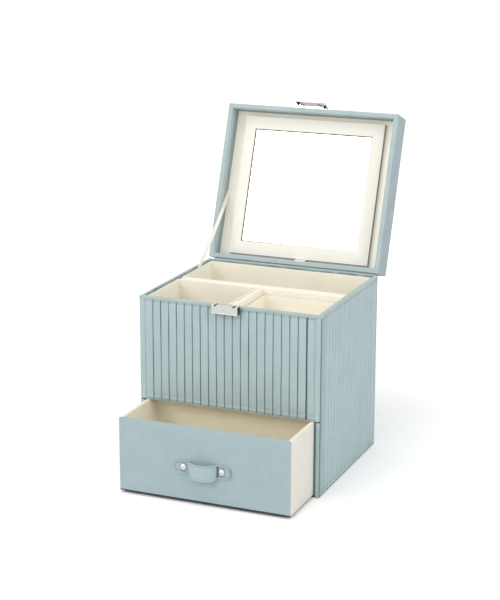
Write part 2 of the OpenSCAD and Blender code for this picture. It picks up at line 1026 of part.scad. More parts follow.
module mirror_glass() {
    color("white")
        at_mirror()
            block([-glass_half_x, glass_half_x], [-glass_half_y, glass_half_y],
                [glass_z, glass_z + glass_t]);
}

module mirror_backing() {
    color(card)
        at_mirror()
            block([-glass_half_x, glass_half_x], [-glass_half_y, glass_half_y],
                [glass_z + glass_t, mirror_back_z]);
}

// Steel discs that the lid magnets hold
module mirror_discs() {
    color("dimgray")
        at_mirror()
            for (x = [-magnet_x, magnet_x])
                for (y = [-magnet_y, magnet_y])
                    translate([x, y, mirror_back_z - 1])
                        cylinder(h = 1, r = magnet_r);
}

// Ribbon tab on the edge of the panel nearest the hinge
module mirror_tab() {
    y = mirror_d / 2;
    color(cream)
        at_mirror()
            block([tab_x - tab_w / 2, tab_x + tab_w / 2], [y, y + cloth_t],
                [mirror_z - tab_out, mirror_back_z - 1]);
}

base_felt();
base_board();
side_board_left();
side_board_right();
back_board();
shelf_board();
front_board();
front_cover();
side_cover_left();
side_cover_right();
back_cover();
corner_strip_left();
corner_strip_right();
rim_binding();
front_hem();
bay_lining();
liner_back();
liner_left();
liner_right();
cross_divider();
centre_divider();
tray_ledges();
clasp_base();
clasp_screws();
clasp_spring();
hinge_cloth();
stay_ribbon();
clasp_button();
tray_tub();
tray_pad();
drawer_front_board();
drawer_front_cover();
drawer_side_left();
drawer_side_right();
drawer_back();
drawer_floor();
drawer_skin();
drawer_lining();
drawer_pads();
drawer_partition();
handle_strap();
handle_rivets();
rivet_washers();
lid_top_board();
lid_wall_front();
lid_wall_back();
lid_wall_left();
lid_wall_right();
lid_cover();
lid_inner_cloth();
lid_spacer_frame();
lid_lining();
lid_magnets();
strike_plate();
strike_nails();
mirror_frame();
mirror_glass();
mirror_backing();
mirror_discs();
mirror_tab();
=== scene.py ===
# %% [markdown]
# # A vanity box with a mirror in its lid
# The real box is thin fibreboard covered in powder-blue suede. Its front and sides are laid in
# knife pleats, its wells are lined in cream, and a mirror panel sits in the lid.
# The CAD frame holds every size. Boards, screws and magnets keep their shape from there, and
# each piece of cloth or stamped metal is modelled again with its folds, rolls and stitches.

# %% Load the frame and measure it
import math
import bpy
import bmesh
from mathutils import Matrix, Vector, noise
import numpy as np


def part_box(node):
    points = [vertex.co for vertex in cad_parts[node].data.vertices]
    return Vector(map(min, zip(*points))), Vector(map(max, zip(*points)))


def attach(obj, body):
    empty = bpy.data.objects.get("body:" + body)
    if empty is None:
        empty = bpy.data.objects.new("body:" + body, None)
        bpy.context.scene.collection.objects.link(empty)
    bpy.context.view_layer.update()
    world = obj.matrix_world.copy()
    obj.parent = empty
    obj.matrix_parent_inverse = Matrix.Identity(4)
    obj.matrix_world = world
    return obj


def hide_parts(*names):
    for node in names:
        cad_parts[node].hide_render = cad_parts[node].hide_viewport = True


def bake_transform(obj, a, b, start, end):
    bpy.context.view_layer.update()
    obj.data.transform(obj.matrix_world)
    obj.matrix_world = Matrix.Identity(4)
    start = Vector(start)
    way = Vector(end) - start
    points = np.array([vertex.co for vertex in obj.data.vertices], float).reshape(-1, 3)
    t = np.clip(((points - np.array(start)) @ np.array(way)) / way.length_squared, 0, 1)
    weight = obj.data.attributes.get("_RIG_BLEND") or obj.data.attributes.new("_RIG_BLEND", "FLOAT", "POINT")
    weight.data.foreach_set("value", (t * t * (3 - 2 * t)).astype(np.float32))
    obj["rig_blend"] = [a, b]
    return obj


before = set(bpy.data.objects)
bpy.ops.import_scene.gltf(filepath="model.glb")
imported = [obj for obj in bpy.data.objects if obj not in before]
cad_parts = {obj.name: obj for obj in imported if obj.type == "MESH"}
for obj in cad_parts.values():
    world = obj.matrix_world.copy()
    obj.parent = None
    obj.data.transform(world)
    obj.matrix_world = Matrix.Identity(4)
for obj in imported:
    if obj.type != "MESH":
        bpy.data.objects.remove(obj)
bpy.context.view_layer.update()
mm = 0.001


def corners(node):
    """The lowest and the highest corner of a CAD node, in millimetres."""
    return [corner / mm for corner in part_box(node)]


def add_object(name, data):
    """Puts a mesh, a lamp or a camera into the scene as an object."""
    made = bpy.data.objects.new(name, data)
    bpy.context.scene.collection.objects.link(made)
    return made


# %% [markdown]
# ## Camera
# The place and turn of the camera were worked out from the corners of the box in the photograph.
# A long lens from about two metres keeps the verticals almost parallel, as they are there.

# %% Camera
camera_place = Vector((0.670894, -1.641087, 0.668918))
camera_turn = math.radians(22.64)
camera_rise = math.radians(15.27)
camera_roll = math.radians(0.156)
camera_data = bpy.data.cameras.new("camera")
camera_data.lens = 99.28
camera_data.sensor_width = 36.0
camera_data.dof.use_dof = False
camera = add_object("camera", camera_data)
camera.matrix_world = (
    Matrix.Translation(camera_place)
    @ Matrix.Rotation(camera_turn, 4, "Z")
    @ Matrix.Rotation(math.pi / 2 - camera_rise, 4, "X")
    @ Matrix.Rotation(camera_roll, 4, "Z")
)
bpy.context.scene.camera = camera
print("camera stands", round(camera_place.length, 3), "m from the middle of the box")

# %% [markdown]
# ## Shader maths that reads like Python
# A material is a small net of nodes. Wiring each one by hand hides what it computes, so one
# small class wraps a socket: a sum of two of them adds a Math node, and `node` makes any other.

# %% Colours and the socket class
def colour(red, green, blue):
    """Turns the 0 to 255 values of a screen colour into the linear values that Blender uses."""
    linear = []
    for part in (red, green, blue):
        share = part / 255
        if share > 0.04045:
            linear.append(((share + 0.055) / 1.055) ** 2.4)
        else:
            linear.append(share / 12.92)
    return (*linear, 1.0)


class Signal:
    """A socket of a material, so that shader maths can be written as Python."""

    def __init__(self, tree, socket):
        self.tree = tree
        self.socket = socket

    def node(self, kind, settings=None, inputs=None, output=0):
        """Adds any node: its settings first, then the values or links of its sockets."""
        made = self.tree.nodes.new(kind)
        for name, value in (settings or {}).items():
            setattr(made, name, value)
        for name, value in (inputs or {}).items():
            if isinstance(value, Signal):
                self.tree.links.new(value.socket, made.inputs[name])
            else:
                made.inputs[name].default_value = value
        return Signal(self.tree, made.outputs[output])

    def maths(self, operation, first, second):
        return self.node("ShaderNodeMath", {"operation": operation}, {0: first, 1: second})

    def __add__(self, other):
        return self.maths("ADD", self, other)

    def __radd__(self, other):
        return self.maths("ADD", other, self)

    def __sub__(self, other):
        return self.maths("SUBTRACT", self, other)

    def __mul__(self, other):
        return self.maths("MULTIPLY", self, other)

    def grain(self, scale, detail=2.0, roughness=0.5):
        """Noise from 0 to 1 at this place, with its middle near 0.5."""
        return self.node("ShaderNodeTexNoise", None, {
            "Vector": self, "Scale": scale, "Detail": detail, "Roughness": roughness})

    def between(self, low, high):
        """A colour between two others, where this value is the factor."""
        return self.node("ShaderNodeMix", {"data_type": "RGBA"}, {0: self, 6: low, 7: high}, 2)

    def bump(self, strength, depth):
        """A normal roughened by this value taken as a height in millimetres."""
        return self.node("ShaderNodeBump", None, {
            "Height": self, "Strength": strength, "Distance": depth * mm})

    def span(self, low, high):
        """This value as 0 at a low limit and 1 at a high one."""
        return self.node("ShaderNodeMapRange", None, {
            "Value": self, "From Min": low, "From Max": high})

    def streaked(self, scale):
        """This place with its z scaled, so that grain on it is drawn out or pressed together."""
        return self.node("ShaderNodeMapping", None, {"Vector": self, "Scale": (1.0, 1.0, scale)})

    def feed(self, socket):
        self.tree.links.new(self.socket, socket)


def new_finish(name, **values):
    """A material with its uniform numbers set, its shader, and the object's own coordinates."""
    material = bpy.data.materials.new(name)
    material.use_nodes = True
    tree = material.node_tree
    shader = tree.nodes["Principled BSDF"]
    for socket, value in values.items():
        shader.inputs[socket.replace("_", " ")].default_value = value
    coordinates = tree.nodes.new("ShaderNodeTexCoord")
    return material, shader.inputs, Signal(tree, coordinates.outputs["Object"])


print("red of the suede as a linear value:", round(colour(184, 201, 204)[0], 3))

# %% [markdown]
# ## Suede
# Suede is a nap of short fibres. It looks matt, a little brighter at its edges, and slightly
# blotched where the nap lies in different directions. So the finish has large soft patches,
# brushed streaks, fine fibres that also make the bump, and a sheen. An attribute named
# painted_light is 1 on open cloth and falls to 0 where shade is painted into the colour: in the
# depth of a fold or seam and in other places that lie in shade.

# %% Suede finishes
def tint(shade, factor):
    return (shade[0] * factor, shade[1] * factor, shade[2] * factor, 1.0)


def suede(name, shade, patch=0.6, fibre=0.9, sheen=0.2, painted_dark=0.18, glow=0.0):
    """Napped cloth; painted_dark is how dark its painted shade gets, as a share of its shade colour."""
    material, sockets, place = new_finish(
        name, Roughness=0.92, Sheen_Weight=sheen, Sheen_Roughness=0.45,
        Specular_IOR_Level=0.25, Emission_Color=shade, Emission_Strength=glow)
    patches = place.grain(38.0, 3.0, 0.55)
    fibres = place.grain(1100.0, 3.0, 0.6)
    brushed = place.streaked(0.12).grain(520.0, 3.0, 0.6)
    lay = fibres * 0.55 + brushed * 0.45
    factor = 0.5 + (patches - 0.5) * patch + (lay - 0.5) * fibre
    nap = factor.between(tint(shade, 0.82), tint(shade, 1.16))
    # Painted shade: where painted_light is low, the colour falls towards a dark tint of the shade.
    painted_light = place.node("ShaderNodeAttribute", {"attribute_name": "painted_light"}, None, 2)
    painted_lit_share = painted_light.span(0.08, 0.66)
    painted_lit_share.between(tint(shade, painted_dark), nap).feed(sockets["Base Color"])
    (0.86 + fibres * 0.12).feed(sockets["Roughness"])
    height = fibres + place.grain(2600.0, 2.0) * 0.6 + brushed * 0.5
    height.bump(0.35, 0.35).feed(sockets["Normal"])
    return material


blue_shade = colour(179, 198, 200)
blue_suede = suede("blue_suede", blue_shade)
pleated_suede = suede("pleated_suede", blue_shade)
drawer_suede = suede("drawer_front_suede", colour(171, 190, 194), patch=0.5, painted_dark=0.08)
lid_suede = suede("lid_suede", colour(165, 181, 186), patch=1.0)
cream_suede = suede("cream_suede", colour(247, 242, 227), patch=0.3, fibre=0.45, sheen=0.1)
cream_cloth = suede("cream_cloth", colour(246, 241, 226), patch=0.3, fibre=0.4, sheen=0.1)
drawer_cream = suede("drawer_side_cream", colour(233, 230, 219), patch=0.3, fibre=0.4, sheen=0.1)
strap_suede = suede("strap_suede", colour(175, 194, 197), patch=0.4)
print("suede finishes:", blue_suede.name, pleated_suede.name, cream_suede.name)

# %% [markdown]
# ## Woven tape, thread, felt and board
# The ribbon and the tab are woven: two crossed waves make the threads. Board is pressed fibre,
# so it has short flecks, and felt is a tangle of darker and lighter hairs. The boards of the
# drawer and the base get a dark card finish that is painted shade, so that the edges under the
# drawer look as dark as they do in shade.

# %% Tape, thread, felt and board finishes
def woven(name, shade, threads):
    material, sockets, place = new_finish(name, Roughness=0.8, Sheen_Weight=0.15)
    across, along = [
        place.node("ShaderNodeTexWave", {"bands_direction": axis}, {
            "Vector": place, "Scale": threads, "Distortion": 0.4}, 1)
        for axis in "XZ"]
    weave = across * 0.5 + along * 0.5
    weave.between(tint(shade, 0.8), tint(shade, 1.06)).feed(sockets["Base Color"])
    (0.72 + weave * 0.2).feed(sockets["Roughness"])
    weave.bump(0.5, 0.15).feed(sockets["Normal"])
    return material


def flecked(name, dark, light, scale, rough):
    material, sockets, place = new_finish(name, Roughness=rough)
    flecks = place.grain(scale, 5.0, 0.7)
    tone = place.grain(scale / 16, 2.0)
    (flecks * 0.8 + tone * 0.2).between(dark, light).feed(sockets["Base Color"])
    (rough - 0.06 + flecks * 0.12).feed(sockets["Roughness"])
    flecks.bump(0.4, 0.3).feed(sockets["Normal"])
    return material


cream_tape = woven("cream_tape", colour(246, 243, 232), 260.0)
thread = woven("blue_thread", colour(168, 187, 191), 900.0)
fibreboard = flecked("fibreboard", colour(120, 92, 62), colour(206, 176, 136), 420.0, 0.85)
# Painted shade: a dark card finish for the boards whose edges stand in shade under the drawer.
painted_shade_card = flecked("painted_shade_card", colour(44, 48, 52), colour(78, 84, 88), 420.0, 0.85)
grey_felt = flecked("grey_felt", colour(70, 78, 82), colour(120, 130, 134), 700.0, 0.95)
mirror_backing = flecked("backing_card", colour(96, 90, 82), colour(146, 138, 126), 380.0, 0.8)
print("woven and flecked finishes:", cream_tape.name, fibreboard.name, grey_felt.name)

# %% [markdown]
# ## Metals and the mirror
# The clasp is bright nickel on stamped steel: small soft dents and fine rubbing marks break up
# its reflections, and its roughness changes a little over the surface. The mirror is the same
# idea with almost no roughness, only a faint haze where it was wiped.

# %% Metal and mirror finishes
def metal(name, shade, rough, wear, dents=0.25):
    material, sockets, place = new_finish(name, Metallic=1.0, Roughness=rough)
    rubs = place.streaked(7.0).grain(620.0, 4.0, 0.65)
    cloud = place.grain(160.0, 3.0)
    (cloud * 0.6 + rubs * 0.4).between(tint(shade, 0.86), tint(shade, 1.08)).feed(
        sockets["Base Color"])
    (rough - wear / 2 + (rubs * 0.5 + cloud * 0.5) * wear).feed(sockets["Roughness"])
    (rubs * 0.3 + cloud * 0.7).bump(dents, 0.3).feed(sockets["Normal"])
    return material


nickel = metal("bright_nickel", colour(227, 231, 226), 0.24, 0.16)
satin_rivet = metal("satin_rivet", colour(236, 236, 232), 0.38, 0.2)
# The grey, dark and black nickels are painted: a dim reflection on the strike's lip and prongs, shade on the
# clasp case and shadow in the strike's gussets.
dim_reflection_nickel = metal("nickel_painted_dim_reflection", colour(150, 147, 143), 0.5, 0.2)
painted_shade_nickel = metal("painted_shade_nickel", colour(78, 80, 77), 0.4, 0.2)
painted_shadow_nickel = metal("painted_shadow_nickel", colour(34, 35, 34), 0.5, 0.2)
dark_steel = metal("dull_steel", colour(150, 150, 148), 0.42, 0.3)
mirror_silver, sockets, place = new_finish("mirror_silver", Metallic=1.0, Roughness=0.02)
haze = place.grain(30.0, 3.0, 0.6)
haze.between(colour(252, 252, 252), colour(255, 255, 255)).feed(sockets["Base Color"])
(0.012 + haze * 0.02).feed(sockets["Roughness"])
print("metal finishes:", nickel.name, satin_rivet.name, mirror_silver.name)

# %% [markdown]
# ## Finishes for the CAD nodes that stay
# The boards, screws, nails, washers, magnets and discs already have their true shape in the
# frame, so they only get a finish. Every other node is modelled again further down.

# %% Dress the CAD nodes
def dress(finish, *nodes):
    for node in nodes:
        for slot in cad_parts[node].material_slots:
            slot.material = finish
    print(finish.name, "on", len(nodes), "CAD nodes")


dress(fibreboard, "side_board_left", "side_board_right", "back_board", "shelf_board",
      "front_board", "lid_top_board", "lid_wall_front", "lid_wall_back", "lid_wall_left",
      "lid_wall_right", "lid_spacer_frame")
# Painted shade: the drawer and base boards take the dark card finish.
dress(painted_shade_card, "base_board", "drawer_front_board", "drawer_side_left",
      "drawer_side_right", "drawer_back", "drawer_floor")
dress(nickel, "clasp_screws", "strike_nails")
dress(dark_steel, "rivet_washers", "lid_magnets", "mirror_discs")
dress(mirror_silver, "mirror_glass")
dress(mirror_backing, "mirror_backing")
dress(cream_tape, "tray_ledges")

# %% [markdown]
# ## Small helpers for the meshes
# Most pieces begin as a stretched cube or a few rectangular loops. They are cut into cells,
# so that their faces can wave a little as glued cloth does, and their sharp edges are rounded
# by the bevel operator. All sizes are written in millimetres and scaled where a mesh is made.

# %% Helpers that make a mesh
def add_box(shape, low, high):
    """A cube stretched between two corners."""
    size = [b - a for a, b in zip(low, high)]
    middle = Vector([(a + b) / 2 for a, b in zip(low, high)]) * mm
    place = Matrix.Translation(middle) @ Matrix.Diagonal((*size, 1.0))
    return bmesh.ops.create_cube(shape, size=mm, matrix=place)["verts"]


def box_shape(low, high):
    shape = bmesh.new()
    add_box(shape, low, high)
    return shape


def three_sides(low, high, inner_x, first_y, back_y):
    """The right, left and back sheets of a lining, between its lowest and highest corner."""
    shape = box_shape((inner_x, first_y, low.z), high)
    add_box(shape, (low.x, first_y, low.z), (-inner_x, high.y, high.z))
    add_box(shape, (-inner_x, back_y, low.z), (inner_x, high.y, high.z))
    return shape


def middle_of(face):
    """The middle of a face in millimetres."""
    return face.calc_center_median() / mm


def verts_of(geometry):
    """Only the verts of what an operator has made."""
    return [item for item in geometry if isinstance(item, bmesh.types.BMVert)]


# %% Helpers that turn, cut, round and wave a mesh
def face_out(shape):
    """Turns all faces outwards."""
    bmesh.ops.recalc_face_normals(shape, faces=shape.faces[:])


def cut(shape, point, across):
    """Cuts a mesh by the plane through a point, square to a direction."""
    geometry = shape.verts[:] + shape.edges[:] + shape.faces[:]
    bmesh.ops.bisect_plane(shape, geom=geometry, plane_co=point, plane_no=across)


def cut_at(shape, values, axis):
    """Cuts a mesh at the given places along one axis."""
    across = Matrix.Identity(3)[axis]
    for value in values:
        cut(shape, across * value * mm, across)


def cut_cells(shape, cell, axes):
    """Cuts a mesh by planes across the given axes, about one cell apart."""
    for index in ["xyz".index(axis) for axis in axes]:
        values = [vert.co[index] for vert in shape.verts]
        first, last = min(values), max(values)
        count = max(1, round((last - first) / (cell * mm)))
        across = Matrix.Identity(3)[index]
        for step in range(1, count):
            cut(shape, across * (first + (last - first) * step / count), across)


def round_edges(shape, radius, segments, choose=None):
    """Rounds the sharp edges, or those of them whose middle passes a test."""
    sharp = []
    for edge in shape.edges:
        if len(edge.link_faces) == 2 and edge.calc_face_angle() > math.radians(50):
            middle = (edge.verts[0].co + edge.verts[1].co) / 2 / mm
            if choose is None or choose(middle):
                sharp.append(edge)
    bmesh.ops.bevel(
        shape, geom=sharp, offset=radius * mm, offset_type="OFFSET", segments=segments,
        profile=0.5, affect="EDGES", clamp_overlap=True, material=-1)


def wave(shape, amount, size, seed):
    """Moves each point along its normal by a smooth noise, so that a face looks like cloth."""
    shape.normal_update()
    shift = Vector((seed * 7.1, seed * 3.3, seed * 5.7))
    moves = []
    for vert in shape.verts:
        moves.append(vert.normal * noise.noise(vert.co / (size * mm) + shift) * amount * mm)
    for vert, move in zip(shape.verts, moves):
        vert.co += move

def soften(shape, cell, axes, radius, segments, swell=None, choose=None):
    """Cuts a mesh into cells, rounds its edges and, for cloth, lets its faces wave."""
    cut_cells(shape, cell, axes)
    round_edges(shape, radius, segments, choose)
    if swell:
        wave(shape, *swell)


# %% [markdown]
# ## Rings, shells and how a mesh is kept
# A binding or a frame is a ring: a rectangle that grows step by step along the outline of its
# section. A well, the face of the drawer and the lid are shells: a box, one face of which is
# inset and pushed in. Every finished mesh becomes an object that rides on a body of the box and
# stands for nodes of the CAD.

# %% Helpers for rings and shells
def set_corners(verts, half_x, y_low, y_high, z):
    """Moves four verts to the corners of a rectangle, each to the corner on its own side."""
    middle = sum(vert.co.y for vert in verts) / len(verts)
    for vert in verts:
        x = math.copysign(half_x, vert.co.x)
        y = y_low if vert.co.y < middle else y_high
        vert.co = Vector((x, y, z)) * mm


def loops(walls, *places):
    """Rectangles some distance out from four walls, each at its own height."""
    half_x, y_low, y_high = walls
    return [(half_x + out, y_low - out, y_high + out, z) for out, z in places]


def ring_shape(stations, closed=True):
    """Extrudes a rectangle from station to station; an open row gets a floor at both its ends."""
    shape = bmesh.new()
    verts = [shape.verts.new((x, y, 0.0)) for x, y in ((-1, -1), (1, -1), (1, 1), (-1, 1))]
    set_corners(verts, *stations[0])
    first = edges = [shape.edges.new(pair) for pair in zip(verts, verts[1:] + verts[:1])]
    for station in stations[1:] + (stations[:1] if closed else []):
        grown = bmesh.ops.extrude_edge_only(shape, edges=edges)["geom"]
        verts = verts_of(grown)
        edges = [item for item in grown if isinstance(item, bmesh.types.BMEdge)]
        edges = [edge for edge in edges if edge.verts[0] in verts and edge.verts[1] in verts]
        set_corners(verts, *station)
    if closed:
        bmesh.ops.remove_doubles(shape, verts=shape.verts[:], dist=0.001 * mm)
    else:
        for loop in (first, edges):
            bmesh.ops.contextual_create(shape, geom=loop)
    face_out(shape)
    return shape


def shell_shape(low, high, wall, axis, side, depth):
    """A box whose face on one side of an axis is inset by the wall and pushed in."""
    shape = box_shape(low, high)
    face = max(shape.faces, key=lambda face: middle_of(face)[axis] * side)
    bmesh.ops.inset_region(shape, faces=[face], thickness=wall * mm)
    inner = bmesh.ops.extrude_discrete_faces(shape, faces=[face])["faces"][0]
    push = Vector((0.0, 0.0, 0.0))
    push[axis] = -side * depth * mm
    bmesh.ops.translate(shape, verts=inner.verts[:], vec=push)
    return shape


# %% Helpers that keep a piece
def set_painted_light(shape, rule=None):
    """Writes the painted light of each point: 1 on open cloth, less where a rule paints shade."""
    painted_light = shape.verts.layers.float.new("painted_light")
    for vert in shape.verts:
        vert[painted_light] = rule(vert.co / mm) if rule else 1.0


def keep(shape, name, finish, body, slot, *nodes, smooth=50):
    """Makes the mesh an object that rides on a body and stands for its CAD nodes."""
    if "painted_light" not in shape.verts.layers.float:
        set_painted_light(shape)
    mesh = bpy.data.meshes.new(name)
    shape.normal_update()
    shape.to_mesh(mesh)
    shape.free()
    mesh.materials.append(finish)
    mesh.shade_smooth()
    mesh.set_sharp_from_angle(angle=math.radians(smooth))
    piece = add_object(name, mesh)
    if body:
        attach(piece, body)
    if nodes:
        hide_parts(*nodes)
    print(name, "has", len(mesh.polygons), "faces")
    return piece


def thicken(piece, name, thickness):
    """Gives a sheet its thickness towards its inner side, by a modifier."""
    thick = piece.modifiers.new(name, "SOLIDIFY")
    thick.thickness = thickness * mm
    thick.offset = -1.0


# %% [markdown]
# ## Knife pleats
# Each pleat is one strip of cloth folded in a Z: it rises from under its neighbour, rounds over
# its own fold and turns back underneath. A drawn stripe would stay flat, so the section of one
# pleat is laid down as a few points, copied along the cloth, extruded up the wall and given the
# thickness of suede. Hems press the pleats flat near the top and the bottom.

# %% Section of the pleats and their sheet
pleat_pitch = 9.36
pleat_rise = [
    (-11.5, 0.20), (-10.3, 0.24), (-9.2, 0.34), (-8.7, 0.58), (-7.9, 0.80), (-6.2, 0.96),
    (-4.2, 1.07), (-2.4, 1.15), (-1.1, 1.17), (-0.4, 1.12), (0.0, 0.92), (-0.1, 0.70),
    (-0.8, 0.56), (-2.3, 0.48), (-2.6, 0.36), (-2.14, 0.20)]
hem_cuts = (-3, -0.7, 0, 0.7, 3)


def lay_chain(shape, points, start, low):
    """Joined points of the section, along the lower edge of the cloth."""
    verts = [shape.verts.new(((start + u) * mm, h * mm, low * mm)) for u, h in points]
    return verts, [shape.edges.new(pair) for pair in zip(verts, verts[1:])]


def pleat_sheet(length, first, last, low, high, rows):
    """Lays the folds from the first to the last, extrudes them up the wall and cuts them across."""
    shape = bmesh.new()
    start = [(0.0, 0.8), (1.2, 1.02), (3.0, 1.12), (first - 4.0, 1.12)]
    start += [(first + u, h) for u, h in pleat_rise[7:]]
    lay_chain(shape, start, 0.0, low)
    pleat, edges = lay_chain(shape, pleat_rise, first + pleat_pitch, low)
    for fold in range(1, round((last - first) / pleat_pitch)):
        copy = bmesh.ops.duplicate(shape, geom=pleat + edges)["geom"]
        bmesh.ops.translate(shape, verts=verts_of(copy), vec=(pleat_pitch * fold * mm, 0.0, 0.0))
    end = [(last - 2.14, 0.20), (last - 1.0, 0.20), (last + 0.3, 0.22), (last + 1.0, 0.34),
           (last + 1.8, 0.52), (last + 2.7, 0.68), (length - 1.0, 0.74), (length, 0.5)]
    lay_chain(shape, end, 0.0, low)
    bmesh.ops.remove_doubles(shape, verts=shape.verts[:], dist=0.02 * mm)
    grown = bmesh.ops.extrude_edge_only(shape, edges=shape.edges[:])["geom"]
    bmesh.ops.translate(shape, verts=verts_of(grown), vec=(0.0, 0.0, (high - low) * mm))
    heights = [row + step for row in rows for step in hem_cuts]
    inner = rows[0] + hem_cuts[-1] + 6
    while inner < rows[1] + hem_cuts[0] - 4:
        heights.append(inner)
        inner += 7.0
    for height in sorted(heights):
        cut(shape, (0, 0, height * mm), (0, 0, 1))
    return shape


# %% Pleated cloth
hem_press, hem_reach = 0.34, 2.2
# Painted shade: the end strip, the start of each side fold, the side corner strip and the seam rows are
# darkened as if in shade.
end_shade, fold_shade, strip_shade, seam_shade = 0.86, 0.59, 0.54, 0.5
sway_amount, swell_amount = 0.28, 0.12
suede_thick = 0.16


def press(z, rows):
    """How much of its height a pleat keeps where the hems hold it."""
    hold = max(math.exp(-((z - row) / hem_reach) ** 2) for row in rows)
    return 1 - hem_press * hold


def pleated_cloth(length, first, count, low, high, hems, seed, corner=1.0):
    """Pleats in a plane: x runs along the cloth and y is the height above the board.

    A corner below 1 paints shade on the strip before the first fold and on the start of every fold; painted
    shade also darkens the depth of each fold, the end strip and the seam rows.
    """
    rows = (low + hems[0], high - hems[1])
    last = first + (count - 1) * pleat_pitch
    shape = pleat_sheet(length, first, last, low, high, rows)
    painted_light = shape.verts.layers.float.new("painted_light")
    for vert in shape.verts:
        u, h, z = vert.co / mm
        # Painted shade: the lower a point lies in its fold, the less painted light it keeps.
        rise = min(1.0, max(0.0, (h - 0.2) / 0.9))
        if u > last + 2.5:
            rise = end_shade
        if corner < 1 and u < first - 2:
            rise = corner if u < 2 else strip_shade
        elif corner < 1 and u < last and (u - first) % pleat_pitch < 3.5:
            rise = min(rise, fold_shade)
        on_seam = min(abs(z - row) for row in rows) < 0.3
        vert[painted_light] = rise * (seam_shade if on_seam else 1.0)
        column = math.floor((u - first + pleat_pitch) / pleat_pitch)
        free = min(1.0, min(u, length - u) / 6)
        sway = noise.noise(Vector((column * 3.7 + seed, z / 45, 0.0))) * sway_amount
        swell = 1 + noise.noise(Vector((column * 5.1, z / 30, seed))) * swell_amount
        vert.co.x += sway * free * mm
        vert.co.y = h * swell * press(z, rows) * mm
    return shape


def hang_pleats(shape, name, matrix, outward, node):
    """Puts pleated cloth on its wall, turns its faces outwards and gives it thickness."""
    bmesh.ops.transform(shape, matrix=matrix, verts=shape.verts[:])
    shape.normal_update()
    facing = sum(face.normal.dot(outward) * face.calc_area() for face in shape.faces)
    if facing < 0:
        bmesh.ops.reverse_faces(shape, faces=shape.faces[:])
    piece = keep(shape, name, pleated_suede, "carcass", "pleated_suede", node, smooth=80)
    thicken(piece, "suede thickness", suede_thick)


# %% [markdown]
# ## Front and side covers
# The front has twenty folds that all face right, with a smooth strip at each end. Every fold has
# painted shade in its depth. The sides have the same pleats, with painted shadow along the start
# of each fold and on the strip before the first one. The walls share one function and differ
# only in the matrix that stands the cloth on its wall.

# %% The pleated covers
front_low, front_high = corners("front_cover")
front_hems = (6.0, 4.5)
board_face = -90.8
front_matrix = Matrix(((1, 0, 0, front_low.x * mm), (0, -1, 0, board_face * mm),
                       (0, 0, 1, 0), (0, 0, 0, 1)))
cloth = pleated_cloth(front_high.x - front_low.x, 9.1, 20, front_low.z, front_high.z,
                      front_hems, 1.0)
hang_pleats(cloth, "front_pleats", front_matrix, Vector((0, -1, 0)), "front_cover")

side_low, side_high = corners("side_cover_right")
side_hems = (5.0, 4.5)
side_face = 103.8
for side, name, first_y, seed in ((1, "right", side_low.y, 2.0), (-1, "left", side_high.y, 3.0)):
    side_matrix = Matrix(((0, side, 0, side * side_face * mm), (side, 0, 0, first_y * mm),
                          (0, 0, 1, 0), (0, 0, 0, 1)))
    cloth = pleated_cloth(side_high.y - side_low.y, 15.0, 17, side_low.z, side_high.z,
                          side_hems, seed, corner=0.22)
    hang_pleats(cloth, name + "_pleats", side_matrix, Vector((side, 0, 0)), "side_cover_" + name)

# %% [markdown]
# ## Stitches
# A row of stitches holds the pleats near the top and the bottom. A stitch is small and there
# are hundreds, so each is a stretched ball of twenty faces, half sunk in the cloth.

# %% Stitch rows
stitch_long = 1.9
stitch_thick = 0.34
stitch_step = 2.7


def stitch(shape, place, along, long=stitch_long):
    """One stitch at a place in millimetres, lying along a direction."""
    turn = along.to_track_quat("X", "Z").to_matrix().to_4x4()
    size = Matrix.Diagonal((long / 2, stitch_thick / 2, stitch_thick / 2, 1.0))
    matrix = Matrix.Translation(place * mm) @ turn @ size
    bmesh.ops.create_icosphere(shape, subdivisions=1, radius=mm, matrix=matrix)


def stitch_row(shape, start, end):
    count = int((end - start).length / stitch_step)
    for step in range(count + 1):
        stitch(shape, start.lerp(end, step / count), end - start)


rows = bmesh.new()
stitch_out = 0.76
seam_y = board_face - stitch_out
for z in (front_low.z + front_hems[0], front_high.z - front_hems[1]):
    stitch_row(rows, Vector((front_low.x + 1, seam_y, z)), Vector((front_high.x - 1, seam_y, z)))
for side in (-1, 1):
    for z in (side_low.z + side_hems[0], side_high.z - side_hems[1]):
        x = side * (side_face + stitch_out)
        stitch_row(rows, Vector((x, side_low.y + 2, z)), Vector((x, side_high.y - 2, z)))
keep(rows, "pleat_stitches", thread, "carcass", "pleated_suede")

# %% [markdown]
# ## Back and corner strips
# The back is one smooth sheet. Each front corner has a flat strip that closes the pleats; it
# ends in a rounded tab over the drawer bay, and below it a separate strip covers the jamb.

# %% Back cover and corner strips
shape = box_shape(*corners("back_cover"))
soften(shape, 9.0, "xz", 0.28, 2, (0.12, 34.0, 4))
keep(shape, "back_suede", blue_suede, "carcass", "blue_suede", "back_cover")

